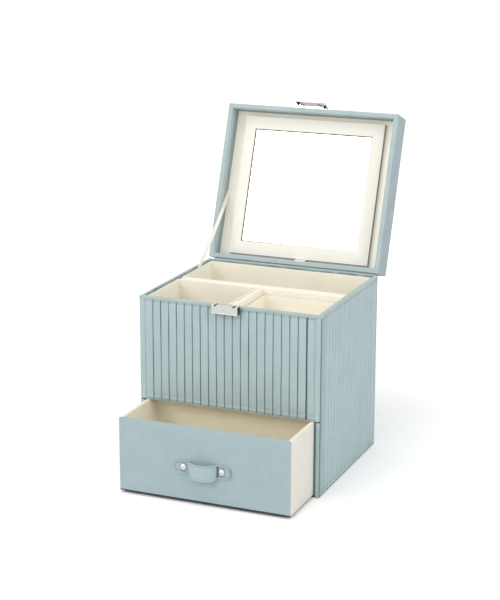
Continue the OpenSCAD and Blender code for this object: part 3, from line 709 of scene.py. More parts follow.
strip_low, strip_high = corners("corner_strip_right")
tab_end = front_low.z - 0.5
tab_round, tab_gap = 2.2, 0.7
for side, name in ((1, "right"), (-1, "left")):
    xs = sorted((side * strip_low.x, side * (strip_high.x - 0.05)))
    shape = box_shape((xs[0], strip_low.y, tab_end), (xs[1], strip_high.y, strip_high.z))
    round_edges(shape, tab_round, 5, lambda p: p.z < tab_end + 0.1 and min(
        abs(p.x - xs[0]), abs(p.x - xs[1])) < 0.1)
    add_box(shape, (xs[0], strip_low.y + 0.1, strip_low.z),
            (xs[1], strip_high.y, tab_end - tab_gap))
    outer = side * strip_high.x
    cut_cells(shape, 8.0, "z")
    cut_cells(shape, 0.8, "x")
    cut_at(shape, [tab_end - 2.4, tab_end + 0.9], 2)
    round_edges(shape, 0.5, 4, lambda p: abs(p.x - outer) < 0.3 and p.y < strip_low.y + 0.3)
    wave(shape, 0.08, 22.0, 5 + side)

    def strip_painted_light(point):
        """Painted shade in the seams beside the strip, under its tab and where the jamb turns inwards."""
        inner = abs(point.x) - strip_low.x
        if abs(point.z - tab_end + 0.6) < 0.9:
            return 0.14
        if inner > 5.9 and side > 0:
            return 0.26
        if point.z < tab_end:
            return 0.15 if inner < 1.9 else min(1.0, 0.3 + (inner - 1.9) / 1.5)
        if point.y > strip_low.y + 0.5:
            return 0.3
        return 0.6 if inner < 0.3 and side > 0 else 1.0

    set_painted_light(shape, strip_painted_light)
    keep(shape, "corner_cloth_" + name, blue_suede, "carcass", "blue_suede",
         "corner_strip_" + name)

# %% [markdown]
# ## Foot, hem and drawer bay
# The box stands on a sheet of felt. A hem closes the lower edge of the front panel, and suede
# lines the bay behind the drawer. These are plain sheets, so each is a box with soft edges. The
# bay lies in shade, so painted shade darkens its suede all over.

# %% Foot of felt, front hem and the lining of the drawer bay
shape = box_shape(*corners("base_felt"))
soften(shape, 12.0, "xy", 0.2, 2)
keep(shape, "felt_foot", grey_felt, "carcass", "felt", "base_felt")

shape = box_shape(*corners("front_hem"))
soften(shape, 6.0, "x", 0.28, 2)
keep(shape, "front_panel_hem", blue_suede, "carcass", "blue_suede", "front_hem")

bay_low, bay_high = corners("bay_lining")
bay_half, bay_back = 98.7, bay_high.y - 1
shape = three_sides(bay_low, bay_high, bay_half, bay_low.y, bay_back)
soften(shape, 14.0, "yz", 0.3, 2)
# Painted shade over the whole bay lining.
set_painted_light(shape, lambda point: 0.34)
keep(shape, "bay_cloth", blue_suede, "carcass", "blue_suede", "bay_lining")

# %% [markdown]
# ## Rim binding
# The blue suede rolls over the top of the walls and goes down inside. It is a ring: rectangles
# follow its section up the outside, over the roll, down the inside and back up behind it.

# %% Rim binding
half_w, front_y, back_y = outer_walls = (105.0, -92.0, 92.0)
rim_walls = (100.3, -87.3, 87.9)
stations = loops(outer_walls, (-0.3, 198.7), (0.1, 198.7), (0.2, 199.1), (0.2, 201.3),
                 (0.0, 201.75), (-0.5, 202.0), (-1.8, 202.05))
stations += loops(rim_walls, (1.5, 202.0), (0.5, 201.8), (0.0, 201.2), (0.0, 189.4),
                  (0.45, 189.4), (0.45, 201.35))
stations += loops(outer_walls, (-0.3, 201.35))
shape = ring_shape(stations)
cut_cells(shape, 7.0, "xy")
wave(shape, 0.16, 20.0, 8)


def rim_painted_light(point):
    """Painted light and shade: light at the rolled outer edge, shaded low on it, mottled on top and darker
    where it goes down inside.
    """
    inside = min(half_w - abs(point.x), point.y - front_y, back_y - point.y)
    if inside < 2.3:
        return 0.42 if point.z < 199.0 else 1.0
    mottle = noise.noise(point / 5.5) * 0.2
    return mottle + (0.36 if point.z < 201.9 else 0.6)


set_painted_light(shape, rim_painted_light)
rim_suede = suede("rim_suede", colour(174, 191, 191), patch=0.9)
keep(shape, "rim_cloth", rim_suede, "carcass", "blue_suede", "rim_binding")

# %% [markdown]
# ## Wells
# Three cream linings stand in the box as open tubs. Their rims are rolled and bright, and the
# thin walls are not quite straight: the wall between the front wells bulges in three places.

# %% Linings of the three wells
board = 1.8


def lining(name, node, seed, bulges=()):
    low, high = corners(node)
    shape = shell_shape(low, high, board, 2, 1, high.z - low.z - board)
    cut_cells(shape, 6.0, "y")
    soften(shape, 9.0, "xz", 0.82, 3, (0.22, 26.0, seed))
    for y, reach, amount, side in bulges:
        for vert in shape.verts:
            if abs(vert.co.x / mm - side) < 3:
                rise = max(0.0, (vert.co.z / mm - low.z) / (high.z - low.z))
                swell = math.exp(-((vert.co.y / mm - y) / reach) ** 2)
                vert.co.x += amount * swell * rise * mm
    keep(shape, name, cream_suede, "carcass", "cream_suede", node)


lining("back_well_lining", "liner_back", 11)
lining("left_well_lining", "liner_left", 12,
       bulges=((-24.0, 8.0, -1.7, -3.5), (-52.0, 9.0, -2.0, -3.5), (-78.0, 8.0, -1.4, -3.5)))
lining("right_well_lining", "liner_right", 13)

for name, node, seed in (("cross_wall_cloth", "cross_divider", 14),
                         ("centre_wall_cloth", "centre_divider", 15)):
    low, high = corners(node)
    shape = box_shape(low, high)
    soften(shape, 8.0, "xy", 0.5, 2, (0.2, 18.0, seed), lambda p: p.z > high.z - 0.2)
    keep(shape, name, cream_suede, "carcass", "cream_suede", node)

# %% [markdown]
# ## Pads
# A pad is cloth over a thin filling. It is highest in its middle and pulled down at its sewn
# edge, so the height of each point follows its distance from the edge, with a little unevenness.

# %% Pads of the tray and the drawer
def add_pad(shape, low, high, crown, seed):
    """A low pillow between two corners, its rim about half as high as its middle."""
    verts = add_box(shape, low, high)
    edges = list({edge for vert in verts for edge in vert.link_edges})
    long = [edge for edge in edges if edge.calc_length() > (high[2] - low[2]) * mm * 2]
    bmesh.ops.subdivide_edges(shape, edges=long, cuts=15, use_grid_fill=True)
    for vert in shape.verts:
        x, y, z = vert.co / mm
        inside = low[0] - 0.1 < x < high[0] + 0.1 and low[1] - 0.1 < y < high[1] + 0.1
        if inside and z > (low[2] + high[2]) / 2:
            gap = min(x - low[0], high[0] - x, y - low[1], high[1] - y)
            fall = math.exp(-gap / 3.5)
            lump = noise.noise(Vector((x / 17, y / 17, seed))) * 0.16
            vert.co.z = (high[2] - crown * fall + lump * (1 - fall)) * mm


shape = bmesh.new()
add_pad(shape, *corners("tray_pad"), 0.7, 3.0)
pad = keep(shape, "tray_cushion", cream_suede, "tray", "cream_suede", "tray_pad")

floor_low, floor_high = corners("drawer_pads")
split = corners("drawer_partition")
shape = bmesh.new()
add_pad(shape, floor_low, (floor_high.x, split[0].y, floor_high.z), 0.5, 5.0)
add_pad(shape, (floor_low.x, split[1].y, floor_low.z), floor_high, 0.5, 6.0)
drawer_inside = suede("drawer_inside_suede", colour(242, 235, 214), patch=0.3, fibre=0.4)
pad = keep(shape, "drawer_floor_pads", drawer_inside, "drawer", "cream_suede", "drawer_pads")

# %% Tray
low, high = corners("tray_tub")
shape = shell_shape(low, high, board, 2, 1, high.z - low.z - board)
soften(shape, 8.0, "xyz", 0.8, 3, (0.14, 22.0, 21))
keep(shape, "tray_shell", cream_cloth, "tray", "cream_suede", "tray_tub")

# %% [markdown]
# ## Drawer
# The front board is wrapped in smooth suede that turns round its edges: a shallow shell, open
# at its back, with painted shade along its lower edge and in the seam on top. Cream cloth covers
# the sides, and the lining comes up from inside and rolls over the rim. That rim is blue over
# the front board only, so those few faces of the lining get the suede of the face.

# %% Drawer front
face_low, face_high = corners("drawer_front_cover")
turn_in, wrap_thick = 1.5, 0.6
shape = shell_shape(face_low, (face_high.x, face_low.y + turn_in, face_high.z), wrap_thick,
                    1, 1, turn_in - wrap_thick)
cut_cells(shape, 8.0, "xz")
round_edges(shape, 0.9, 4, lambda p: p.y < face_low.y + 0.1)
cut_at(shape, [face_low.z + 1.5, face_low.z + 1.8], 2)
wave(shape, 0.14, 30.0, 23)


def face_painted_light(point):
    """Painted shade along the bottom edge and in the seam against the lining on top."""
    if point.z < face_low.z + 1.6:
        return 0.0
    return 0.3 if point.z > face_high.z - 0.5 and point.y > face_low.y + 0.8 else 1.0


set_painted_light(shape, face_painted_light)
keep(shape, "drawer_face", drawer_suede, "drawer", "blue_suede", "drawer_front_cover")

# %% Drawer sides
skin_low, skin_high = corners("drawer_skin")
skin_thick = 0.6
start_y = face_low.y + turn_in + 0.05
shape = three_sides(
    skin_low, skin_high, skin_high.x - skin_thick, start_y, skin_high.y - skin_thick)
soften(shape, 10.0, "yz", 0.25, 2)
keep(shape, "drawer_side_cloth", drawer_cream, "drawer", "cream_suede", "drawer_skin")

# %% Drawer lining with its rolled rim, and partition
rim_low, rim_high = corners("drawer_lining")
inner_walls = (94.0, -153.8, 15.9)
rim_loops = loops(inner_walls, (0.6, rim_low.z), (0.6, 84.2))
rim_loops += loops((rim_high.x, start_y, rim_high.y), (0.0, 84.2), (0.0, 84.5),
                   (-0.15, 84.7), (-0.5, 84.8))
rim_loops += loops(inner_walls, (0.5, 84.8), (0.15, 84.7), (0.0, 84.3), (0.0, 40.0), (0.0, 5.4))
shape = ring_shape(rim_loops, closed=False)
cut_cells(shape, 9.0, "xy")
wave(shape, 0.12, 24.0, 25)
for face in shape.faces:
    middle = middle_of(face)
    if middle.y < inner_walls[1] - 0.2 and middle.z > 84.1:
        face.material_index = 1
inside = keep(
    shape, "drawer_inside_cloth", drawer_inside, "drawer", "cream_suede", "drawer_lining")
inside.data.materials.append(drawer_suede)

shape = box_shape(*split)
soften(shape, 9.0, "xz", 0.9, 3, (0.2, 24.0, 27), lambda p: p.z > split[1].z - 0.2)
keep(shape, "drawer_cross_wall", drawer_inside, "drawer", "cream_suede", "drawer_partition")

# %% [markdown]
# ## Handle
# The handle is a suede strap with round ends, riveted to the drawer front and bowed out in the
# middle, where it is wider. It is modelled flat as a grid, its outline is shaped, and then each
# point is carried onto the plan of the bow, so that the stitches can follow the same rule.

# %% Plan and outline of the handle strap
handle_z = 41.0
bow_half = 17.0
bow_front = 19.96
bow_r = 18.96
bow_angle = math.asin(bow_half / bow_front)
arc_half = bow_r * bow_angle
foot_long = 15.5
end_half = 7.3
flat_half = foot_long + arc_half
strap_thick, suede_layer = 2.0, 1.5
bead_high, groove_in, groove_deep, rivet_in = 0.36, 2.0, 0.3, 5.0


def strap_place(s, z, out):
    """From a place on the flat strap to the bowed one; out is the distance from its mid layer."""
    middle = strap_thick / 2
    if abs(s) > arc_half:
        x = math.copysign(bow_half + abs(s) - arc_half, s)
        depth = middle + out
    else:
        angle = s / bow_r
        x = math.sin(angle) * (bow_r + out)
        depth = math.cos(angle) * (bow_r + out) - math.cos(bow_angle) * bow_r + middle * 0.4
    return Vector((x, face_low.y - depth, handle_z + z))


def strap_edges(s):
    """Lower and upper edge of the flat strap at a distance along it."""
    to_end = flat_half - abs(s)
    if to_end < end_half:
        half = math.sqrt(max(0.0, end_half ** 2 - (end_half - to_end) ** 2))
    else:
        half = end_half
    wide = min(1.0, max(0.0, (arc_half + 1.5 - abs(s)) / 9.0))
    return -half - 3.4 * wide * wide * (3 - 2 * wide), half


# %% Handle strap, with its beaded edge, its groove, and painted shade in the groove, round the rivets, inside the tabs and beside the loop
shape = bmesh.new()
bmesh.ops.create_grid(shape, x_segments=120, y_segments=22, size=1.0)
painted_light = shape.verts.layers.float.new("painted_light")
for vert in shape.verts:
    share = vert.co.x
    s = flat_half * math.copysign(1 - (1 - abs(share)) ** 1.25, share) if share else 0.0
    lower, upper = strap_edges(s)
    t = 1 - (1 - abs(vert.co.y)) ** 1.6
    t = 0.5 + math.copysign(t, vert.co.y) / 2
    z = lower + (upper - lower) * t
    rim = min(z - lower, upper - z, (flat_half - abs(s)) * 1.2)
    bead = bead_high * math.exp(-((rim - 0.6) / 0.6) ** 2)
    groove = math.exp(-((rim - groove_in) / 0.65) ** 2)
    foot = abs(s) > arc_half + 0.5
    rivet = math.hypot(abs(s) - arc_half - rivet_in, z)
    ring = math.exp(-((rivet - 3.7) / 0.9) ** 2) if foot else 0.0
    # Painted shade: in the groove, in a ring round each rivet, inside the end tabs and, as painted shadow,
    # on the right tab beside the loop.
    shaded = 0.62 * max(groove, ring)
    if s > 0 and rim > 1.0:
        shaded = max(shaded, 0.86 * math.exp(-((s - arc_half - 0.2) / 1.5) ** 4))
    vert[painted_light] = (0.7 if foot and rim > 1.4 else 1.0) * (1 - shaded)
    bead -= groove_deep * groove
    vert.co = strap_place(s, z, 0.6 + bead) * mm
bmesh.ops.remove_doubles(shape, verts=shape.verts[:], dist=0.03 * mm)
shape.normal_update()
outward = sum(face.normal.y for face in shape.faces)
if outward > 0:
    bmesh.ops.reverse_faces(shape, faces=shape.faces[:])
handle = keep(shape, "handle_band", strap_suede, "drawer", "blue_suede", "handle_strap")
thicken(handle, "strap thickness", suede_layer)

# %% Handle stitches and rivets
row_end, row_in, row_step, thread_out = 2.4, 1.9, 1.8, 0.55
shape = bmesh.new()
s = -flat_half + row_end
while s < flat_half - row_end:
    lower, upper = strap_edges(s)
    for z in (lower + row_in, upper - row_in):
        here = strap_place(s - 0.5, z, thread_out)
        there = strap_place(s + 0.5, z, thread_out)
        stitch(shape, here, there - here, 1.3)
    s += row_step
pale_thread = woven("pale_thread", colour(200, 214, 216), 900.0)
keep(shape, "handle_stitches", pale_thread, "drawer", "blue_suede")

rivet_profile = [(0.0, 1.45), (1.2, 1.34), (2.3, 1.02), (3.1, 0.62), (3.5, 0.3), (3.5, 0.0),
                 (1.0, 0.0), (1.0, -5.8), (0.0, -5.8)]
rivet_x = bow_half + rivet_in
shape = bmesh.new()
for x in (-rivet_x, rivet_x):
    centre = Vector((x, face_low.y - strap_thick, handle_z))
    points = [shape.verts.new((centre + Vector((r, -out, 0.0))) * mm) for r, out in rivet_profile]
    edges = [shape.edges.new(pair) for pair in zip(points, points[1:])]
    bmesh.ops.spin(
        shape, geom=points + edges, cent=centre * mm, axis=(0, 1, 0), dvec=(0, 0, 0),
        angle=math.tau, steps=28, use_merge=True)
bmesh.ops.remove_doubles(shape, verts=shape.verts[:], dist=0.01 * mm)
face_out(shape)
keep(shape, "rivet_domes", satin_rivet, "drawer", "silver_rivet", "handle_rivets")

# %% [markdown]
# ## Lid
# The lid stands open in the frame. Its pieces are modelled as if it were closed, where every
# side is square to an axis, and one matrix then turns them about the hinge line.

# %% Lid cloth
hinge_y, hinge_z = 92.6, 203.2
hinge = Vector((0.0, hinge_y, hinge_z)) * mm
lid_angle = math.radians(-109.7)
open_lid = (
    Matrix.Translation(hinge) @ Matrix.Rotation(lid_angle, 4, "X") @ Matrix.Translation(-hinge))


def keep_open(shape, name, finish, body, slot, *nodes, smooth=50):
    """Turns a piece drawn on the closed lid to the open lid and keeps it."""
    bmesh.ops.transform(shape, matrix=open_lid, verts=shape.verts[:])
    keep(shape, name, finish, body, slot, *nodes, smooth=smooth)


lid_low, lid_high = 203.15, 234.5
shape = shell_shape((-half_w, front_y, lid_low), (half_w, back_y, lid_high), wrap_thick,
                    2, -1, lid_high - lid_low - wrap_thick)
soften(shape, 9.0, "xyz", 1.3, 4, (0.18, 34.0, 31), lambda p: p.z > lid_low + 0.45 and (
    abs(p.x) > half_w - 0.1 or abs(p.y) > back_y - 0.1))
keep_open(shape, "lid_wrap", lid_suede, "lid", "blue_suede", "lid_cover")

# %% [markdown]
# ## Inside of the lid
# The rim of the lid is a ring of suede that rolls over the walls, as on the box, and gets
# painted shade that deepens with depth. The cream lining above the mirror has a faint glow of its
# own, because it came out darker than in the photo without one; it also has painted shade along
# its edge on the hinge side.

# %% Rim and lining of the lid
lid_half, lid_front, lid_back = lid_walls = (99.8, -86.8, 86.8)
lining_low, lining_high = 222.5, 224.0
stations = loops(outer_walls, (-0.5, lid_low), (0.0, 203.05), (0.0, 202.85), (-0.12, 202.6),
                 (-0.5, 202.5))
stations += loops(lid_walls, (0.8, 202.5), (0.2, 202.65), (0.0, 203.1), (0.0, 213.0),
                  (0.0, lining_high), (0.55, lining_high), (0.55, lid_low))
shape = ring_shape(stations)
cut_cells(shape, 8.0, "xy")
wave(shape, 0.14, 22.0, 33)


def lid_rim_painted_light(point):
    """Painted shade: light on the rim and darker with the depth of the lid."""
    return 1.0 if point.z < 203.3 else max(0.42, 0.56 - (point.z - 203) / 110)


set_painted_light(shape, lid_rim_painted_light)
lid_rim_suede = suede("lid_rim_suede", colour(178, 194, 196), patch=0.8)
keep_open(shape, "lid_inside_cloth", lid_rim_suede, "lid", "blue_suede", "lid_inner_cloth")

lid_cream = suede("lid_lining_cream", colour(253, 249, 236), patch=0.2, fibre=0.3, glow=0.14)
shape = box_shape((-lid_half, lid_front, lining_low), (lid_half, lid_back, lining_high))
cut_cells(shape, 8.0, "x")
cut_cells(shape, 2.6, "y")
wave(shape, 0.2, 26.0, 35)
# Painted shade along the lining's edge on the hinge side, below the mirror frame.
set_painted_light(shape, lambda point: 0.5 if point.y > 84.0 else 1.0)
keep_open(shape, "lid_lining_cloth", lid_cream, "lid", "cream_suede", "lid_lining")

# %% [markdown]
# ## Clasp
# The lower half is a case in a dark nickel finish that is painted shade, with a bright top, two
# slots and a pocket in its front for the plate that is pressed to open it. Slots and pocket are
# real holes: their outlines are cut into the faces, and those faces are pushed in. The plate has
# a raised border along its lower edge, a notch under each slot and a stem that reaches into the
# pocket, where a coil pushes it back.

# %% Clasp case
def push_faces(shape, faces, move):
    """Extrudes each face on its own and moves the new face."""
    made = bmesh.ops.extrude_discrete_faces(shape, faces=faces)["faces"]
    verts = list({vert for face in made for vert in face.verts})
    bmesh.ops.translate(shape, verts=verts, vec=Vector(move) * mm)


clasp_low, clasp_high = corners("clasp_base")
clasp_x = (clasp_low.x + clasp_high.x) / 2
slot_out, slot_half, slot_deep = 10.65, 1.6, 8.2
slots_x = (clasp_x - slot_out, clasp_x + slot_out)
slot_ends = (clasp_low.y + 0.8, clasp_high.y - 0.8)
stem_half, stem_low, stem_high = 5.5, 195.8, 200.6
stem_gap, pocket_deep = 0.3, 3.2
shape = box_shape(clasp_low, clasp_high)
cut_at(shape, [x + side * slot_half for x in slots_x for side in (-1, 1)], 0)
cut_at(shape, slot_ends, 1)
cut_at(shape, (clasp_x - stem_half - stem_gap, clasp_x + stem_half + stem_gap), 0)
cut_at(shape, (stem_low - stem_gap, stem_high + stem_gap), 2)
slots, pocket = [], []
for face in shape.faces:
    middle = middle_of(face)
    in_front = middle.y < clasp_low.y + 0.1 and abs(middle.x - clasp_x) < stem_half
    if in_front and stem_low < middle.z < stem_high:
        pocket.append(face)
    near = min(abs(middle.x - x) for x in slots_x) < 0.2
    if near and middle.z > clasp_high.z - 0.1 and slot_ends[0] < middle.y < slot_ends[1]:
        slots.append(face)
push_faces(shape, slots, (0.0, 0.0, -slot_deep))
push_faces(shape, pocket, (0.0, pocket_deep, 0.0))
round_edges(shape, 0.3, 3)
# Lit and shaded copies of nickel: the top faces take the bright nickel, the rest the dark nickel that is
# painted shade.
for face in shape.faces:
    if middle_of(face).z > clasp_high.z - 0.2:
        face.material_index = 1
case = keep(shape, "clasp_case", painted_shade_nickel, "carcass", "nickel", "clasp_base")
case.data.materials.append(nickel)

# %% Press plate
press_low, press_high = corners("clasp_button")
plate_front, plate_back = press_low.y + 0.25, press_low.y + 0.8
border_high = 0.9
shape = box_shape((press_low.x, plate_front, press_low.z), (press_high.x, plate_back, press_high.z))
notch_cuts = (-1.0, -0.94, -0.77, -0.5, 0.0, 0.5, 0.77, 0.94, 1.0)
cut_at(shape, [x + slot_half * share for x in slots_x for share in notch_cuts], 0)
for vert in shape.verts:
    if vert.co.z / mm > press_high.z - 0.1:
        off = min(abs(vert.co.x / mm - x) for x in slots_x)
        vert.co.z -= math.sqrt(max(0.0, slot_half ** 2 - off ** 2)) * mm
round_edges(shape, 0.12, 2, lambda p: p.y < plate_back - 0.1)
add_box(shape, press_low, (press_high.x, plate_back, press_low.z + border_high))
round_edges(shape, 0.2, 3, lambda p: p.y < plate_front - 0.1)
add_box(shape, (clasp_x - stem_half, plate_back - 0.1, stem_low),
        (clasp_x + stem_half, press_high.y, stem_high))
keep(shape, "clasp_plate", nickel, "press_plate", "nickel", "clasp_button")

# %% Coil behind the plate, drawn as long as it is when the plate is pressed
shape = bmesh.new()
spring_low, spring_high = corners("clasp_spring")
spring_mid = Vector((clasp_x, 0.0, (clasp_low.z + clasp_high.z) / 2))
coil_r, wire_r, turns, coil_steps = 1.7, 0.28, 2.5, 40
pressed = 0.75
start = spring_mid + Vector((coil_r, spring_low.y + pressed + wire_r, 0.0))
bmesh.ops.create_circle(
    shape, cap_ends=True, segments=8, radius=wire_r * mm, matrix=Matrix.Translation(start * mm))
lift = (spring_high.y - spring_low.y - pressed - 2 * wire_r) / coil_steps
bmesh.ops.spin(
    shape, geom=shape.verts[:] + shape.edges[:] + shape.faces[:], cent=spring_mid * mm,
    axis=(0, 1, 0), dvec=(0, lift * mm, 0), angle=math.tau * turns, steps=coil_steps)
face_out(shape)
keep(shape, "clasp_coil", dark_steel, "carcass", "steel", "clasp_spring")

# %% [markdown]
# ## Strike
# The upper half of the clasp is one stamped strip on the lid: a plate, a hood over the case, a
# folded lip, gussets that close its ends and two prongs that drop into the slots. The gussets
# are nearly black as painted shadow, and the lip and prongs are grey as a painted dim reflection.
# The hood is narrower at its right front corner, where a slanted arm of the lip runs back to the
# plate.

# %% Strike plate and hood
hood_z, hood_thick, lip_y = 203.5, 0.8, press_low.y
strike_front, strike_back, strike_top = -92.8, -92.0, 213.5
strike_half, hood_half, hood_cut = 20.5, 18.3, 2.4
strike_low, strike_high = clasp_x - strike_half, clasp_x + strike_half
shape = box_shape((strike_low, strike_front, hood_z), (strike_high, strike_back, strike_top))
round_edges(shape, 1.6, 4, lambda p: p.z > strike_top - 0.1 and (
    p.x < strike_low + 0.1 or p.x > strike_high - 0.1))
round_edges(shape, 0.2, 2, lambda p: p.y < strike_front + 0.1)
hood = add_box(shape, (clasp_x - hood_half, lip_y, hood_z),
               (clasp_x + hood_half, strike_front + 0.1, hood_z + hood_thick))
for vert in hood:
    if vert.co.y / mm < lip_y + 0.1 and vert.co.x / mm > clasp_x:
        vert.co.x -= hood_cut * mm
add_box(shape, (clasp_x - hood_half, lip_y, hood_z + 0.1),
        (clasp_x + hood_half - hood_cut, lip_y + 0.8, hood_z + 3.5))
keep_open(shape, "strike_hood", nickel, "lid", "nickel", "strike_plate", smooth=30)

# %% Lip, gussets and prongs
sheet_low, sheet_thick = hood_z - 0.3, 1.2


def add_sheet(shape, outline):
    """A piece of sheet in the plane of the hood, from its outline."""
    points = [shape.verts.new(Vector((x, y, sheet_low)) * mm) for x, y in outline]
    faces = bmesh.ops.contextual_create(shape, geom=points)["faces"]
    grown = bmesh.ops.extrude_face_region(shape, geom=faces)["geom"]
    bmesh.ops.translate(shape, verts=verts_of(grown), vec=(0.0, 0.0, sheet_thick * mm))


lip_front = lip_y + 0.1
shape = box_shape((strike_low + 6.4, lip_front, sheet_low),
                  (clasp_x + hood_half - 2.6, lip_y + 4.6, hood_z + 0.1))
soften(shape, 2.0, "x", 0.24, 3)
add_sheet(shape, (
    (clasp_x + hood_half - 2.8, lip_front), (clasp_x + hood_half - 1.6, lip_front),
    (strike_high - 0.1, -93.2), (strike_high - 1.1, -93.2)))
face_out(shape)
# Painted dim reflection: the lip takes the grey nickel.
keep_open(shape, "strike_lip", dim_reflection_nickel, "lid", "nickel")

shape = bmesh.new()
add_sheet(shape, (
    (strike_low + 0.2, lip_front), (strike_low + 7.2, lip_front), (strike_low + 4.6, -93.8)))
add_sheet(shape, (
    (strike_high - 6.2, -92.9), (strike_high - 0.2, -92.9), (strike_high - 4.2, -97.8)))
face_out(shape)
round_edges(shape, 0.12, 2)
# Painted shadow: the gussets take the nearly black nickel.
keep_open(shape, "strike_gussets", painted_shadow_nickel, "lid", "nickel")

shape = bmesh.new()
prong_y, prong_low, prong_half_x, prong_half_y = clasp_low.y + 1.7, 196.3, 1.2, 0.45
for x in slots_x:
    verts = add_box(shape, (x - prong_half_x, prong_y - prong_half_y, prong_low),
                    (x + prong_half_x, prong_y + prong_half_y, hood_z + 0.1))
    tip = [vert for vert in verts if vert.co.z / mm < prong_low + 0.7]
    bmesh.ops.translate(shape, verts=tip, vec=(0.0, -0.25 * mm, 0.0))
soften(shape, 1.2, "z", 0.25, 2)
# Painted dim reflection: the prongs take the grey nickel.
keep_open(shape, "strike_prongs", dim_reflection_nickel, "lid", "nickel")

# %% [markdown]
# ## Mirror panel
# The glass sits in a cream frame. Its opening slopes from the face of the frame to the glass,
# and that slope has painted shadow at the left and along the top; the outer wall of the frame
# has painted shade too. The frame is a ring again, and a short tape tab on its lower edge pulls
# the panel out; the tab droops a little.

# %% Mirror frame and tab
mirror_y = 1.1


def mirror_loops(half_x, half_y, *places):
    """Rectangles about the middle of the mirror, some distance in from a width and a height."""
    walls = (half_x, mirror_y - half_y, mirror_y + half_y)
    return loops(walls, *[(-inset, z) for inset, z in places])


frame_face, frame_back = 216.5, 222.2
stations = mirror_loops(
    86.5, 82.5, (0.0, frame_back), (0.0, 217.1), (0.2, 216.7), (0.6, frame_face))
stations += mirror_loops(
    73.5, 67.8, (0.0, frame_face), (0.8, 216.72), (0.9, 216.85), (1.8, 218.45))
stations += mirror_loops(77.25, 71.5, (0.0, 218.5), (0.0, frame_back))
shape = ring_shape(stations)


def frame_painted_light(point):
    """Painted shade: light on the face, dark on the outer wall and on the opening's left and top."""
    if point.z < 216.7:
        return 1.0
    if abs(point.x) > 86 or abs(point.y - mirror_y) > 82:
        return 0.2
    return 0.0 if point.x < -71 or point.y < mirror_y - 64 else 0.9


set_painted_light(shape, frame_painted_light)
frame_cream = suede(
    "mirror_frame_cream", colour(250, 246, 235), patch=0.12, fibre=0.25, sheen=0.0, painted_dark=0.2)
keep_open(shape, "mirror_rim", frame_cream, "mirror_panel", "cream_suede", "mirror_frame",
          smooth=30)

tab_low, tab_high = (-1.5, 83.62, 211.6), (11.5, 84.15, 221.2)
shape = box_shape(tab_low, tab_high)
soften(shape, 1.5, "xz", 0.2, 2, (0.3, 6.0, 37))
droop_from, droop = 217.0, 0.45
for vert in shape.verts:
    vert.co.y += max(0.0, droop_from * mm - vert.co.z) * droop
keep_open(shape, "mirror_pull_tab", cream_tape, "mirror_panel", "cream_tape", "mirror_tab")

# %% [markdown]
# ## Hinge cloth and stay ribbon
# The lid hinges on a strip of suede glued to both backs, and a ribbon stops it. Both cross the
# joint, so each is one dense strip that follows the box at one end and the lid at the other.

# %% Hinge cloth and ribbon
def strip_shape(path, low_x, high_x, thickness, cell):
    """A strip of cloth swept along x from a path in the plane of y and z."""
    shape = bmesh.new()
    points = [shape.verts.new(Vector((low_x, y, z)) * mm) for y, z in path]
    for pair in zip(points, points[1:]):
        shape.edges.new(pair)
    grown = bmesh.ops.extrude_edge_only(shape, edges=shape.edges[:])["geom"]
    bmesh.ops.translate(shape, verts=verts_of(grown), vec=((high_x - low_x) * mm, 0.0, 0.0))
    cut_cells(shape, cell, "x")
    bmesh.ops.solidify(shape, geom=shape.faces[:], thickness=thickness * mm)
    face_out(shape)
    return shape


lid_sine, lid_cosine = 0.9415, 0.3371


def lid_place(u, d):
    """A point of the open lid: u towards its free edge and d away from the box."""
    return (hinge_y + lid_cosine * u + lid_sine * d, hinge_z + lid_sine * u - lid_cosine * d)


strip_y, strip_step = 92.3, 2.6
path = [(strip_y, 174.0 + strip_step * step) for step in range(11)]
path += [(strip_y, 201.2), (92.42, 202.0), (92.75, 202.62), (93.4, 202.78)]
path += [lid_place(0.28, 1.6 + strip_step * step) for step in range(10)]
shape = strip_shape(path, -98.0, 98.0, 0.3, 7.0)
strip = keep(shape, "hinge_strip", blue_suede, None, "blue_suede", "hinge_cloth", smooth=80)
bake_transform(strip, "carcass", "lid", start=Vector((0, 92.3, 200.6)) * mm,
         end=Vector((0, 94.6, 202.4)) * mm)

# %% Stay ribbon, which turns on its way from the box to the lid
ribbon_x = -99.45
ribbon_low = Vector((49.0, 200.0))
ribbon_high = Vector(lid_place(82.0, 19.25))
ribbon_half, ribbon_thick, ribbon_bow = 2.0, 0.35, 1.9
ribbon_twist = math.radians(58)
run = (ribbon_high - ribbon_low).normalized()
shape = bmesh.new()
bmesh.ops.create_grid(shape, x_segments=60, y_segments=4, size=1.0)
for vert in shape.verts:
    share = (vert.co.x + 1) / 2
    middle = ribbon_low.lerp(ribbon_high, share)
    twist = ribbon_twist * math.sin(math.pi * share) ** 0.35
    inward = ribbon_bow * math.sin(math.pi * share) ** 0.5
    across = vert.co.y * ribbon_half
    flat = across * math.cos(twist)
    vert.co = Vector((
        ribbon_x + inward - across * math.sin(twist),
        middle.x - run.y * flat, middle.y + run.x * flat)) * mm
bmesh.ops.solidify(shape, geom=shape.faces[:], thickness=ribbon_thick * mm)
face_out(shape)
ribbon = keep(shape, "lid_ribbon", cream_tape, None, "cream_tape", "stay_ribbon")
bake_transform(ribbon, "carcass", "lid", start=Vector((-99.45, 49.0, 200.0)) * mm,
         end=Vector((-99.45, ribbon_high.x, ribbon_high.y)) * mm)

# %% [markdown]
# ## Floor and light
# The floor is white paper. The camera sees it whiter than the light falling on it, and more so
# far away, so that it melts into the background but still catches the box's shadow. Three soft
# lamps stand at the left, the right and above, and the white surroundings fill in the rest.

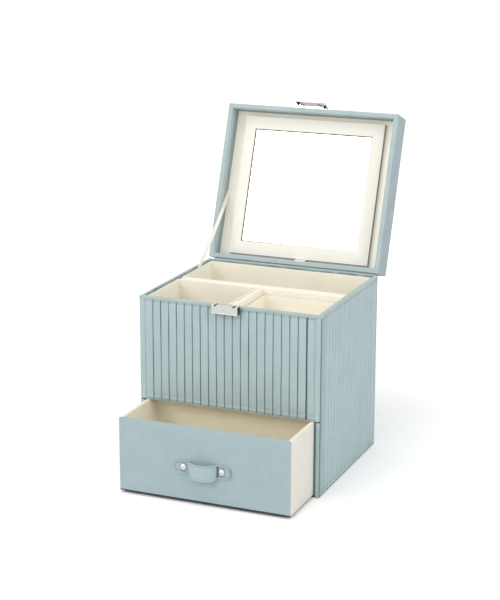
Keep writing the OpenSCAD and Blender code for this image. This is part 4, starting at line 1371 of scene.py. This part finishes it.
# %% Floor
shape = bmesh.new()
floor_half = 30.0
bmesh.ops.create_grid(shape, x_segments=4, y_segments=4, size=floor_half)
floor_mesh = bpy.data.meshes.new("floor")
shape.to_mesh(floor_mesh)
shape.free()
floor = add_object("floor", floor_mesh)
paper = bpy.data.materials.new("paper_floor")
paper.use_nodes = True
tree = paper.node_tree
tree.nodes.remove(tree.nodes["Principled BSDF"])
seen = Signal(tree, tree.nodes.new("ShaderNodeLightPath").outputs["Is Camera Ray"])
place = Signal(tree, tree.nodes.new("ShaderNodeTexCoord").outputs["Object"])
reach = place.node("ShaderNodeVectorMath", {"operation": "LENGTH"}, {0: place}, "Value")
plain_white = (1.0, 1.0, 1.0)
paper_lit, paper_near, paper_far = [tint(plain_white, factor) for factor in (0.8, 1.15, 1.5)]
paper_seen = reach.span(0.16, 0.9).between(paper_near, paper_far)
white = seen.between(paper_lit, paper_seen)
matt = seen.node("ShaderNodeBsdfDiffuse", None, {"Color": white})
matt.feed(tree.nodes["Material Output"].inputs["Surface"])
floor_mesh.materials.append(paper)

# %% World and lamps
world = bpy.data.worlds.new("studio")
world.use_nodes = True
bpy.context.scene.world = world
tree = world.node_tree
rays = tree.nodes.new("ShaderNodeLightPath").outputs
seen = Signal(tree, rays["Is Camera Ray"])
glossy = Signal(tree, rays["Is Glossy Ray"])
through = Signal(tree, rays["Is Transmission Ray"])
white = seen.maths("MAXIMUM", seen.maths("MAXIMUM", seen, glossy), through)
room_light = 0.74
background = tree.nodes["Background"]
background.inputs["Color"].default_value = (1.0, 1.0, 1.0, 1.0)
(white * (1 - room_light) + room_light).feed(background.inputs["Strength"])


def lamp(name, place, size, power, target=Vector((0.0, 0.0, 0.12))):
    data = bpy.data.lights.new(name, "AREA")
    data.shape = "SQUARE"
    data.size = size
    data.energy = power
    light = add_object(name, data)
    aim = (target - place).to_track_quat("-Z", "Y").to_matrix().to_4x4()
    light.matrix_world = Matrix.Translation(place) @ aim


lamp("key", Vector((-1.3, -2.1, 1.7)), 1.1, 20.0)
lamp("fill", Vector((2.2, -0.6, 1.2)), 1.6, 14.0)
lamp("top", Vector((-0.2, -0.5, 2.4)), 1.0, 8.0, Vector((0.0, 0.0, 0.1)))
bpy.context.scene.view_settings.view_transform = "Standard"
print("lamps and world are set")
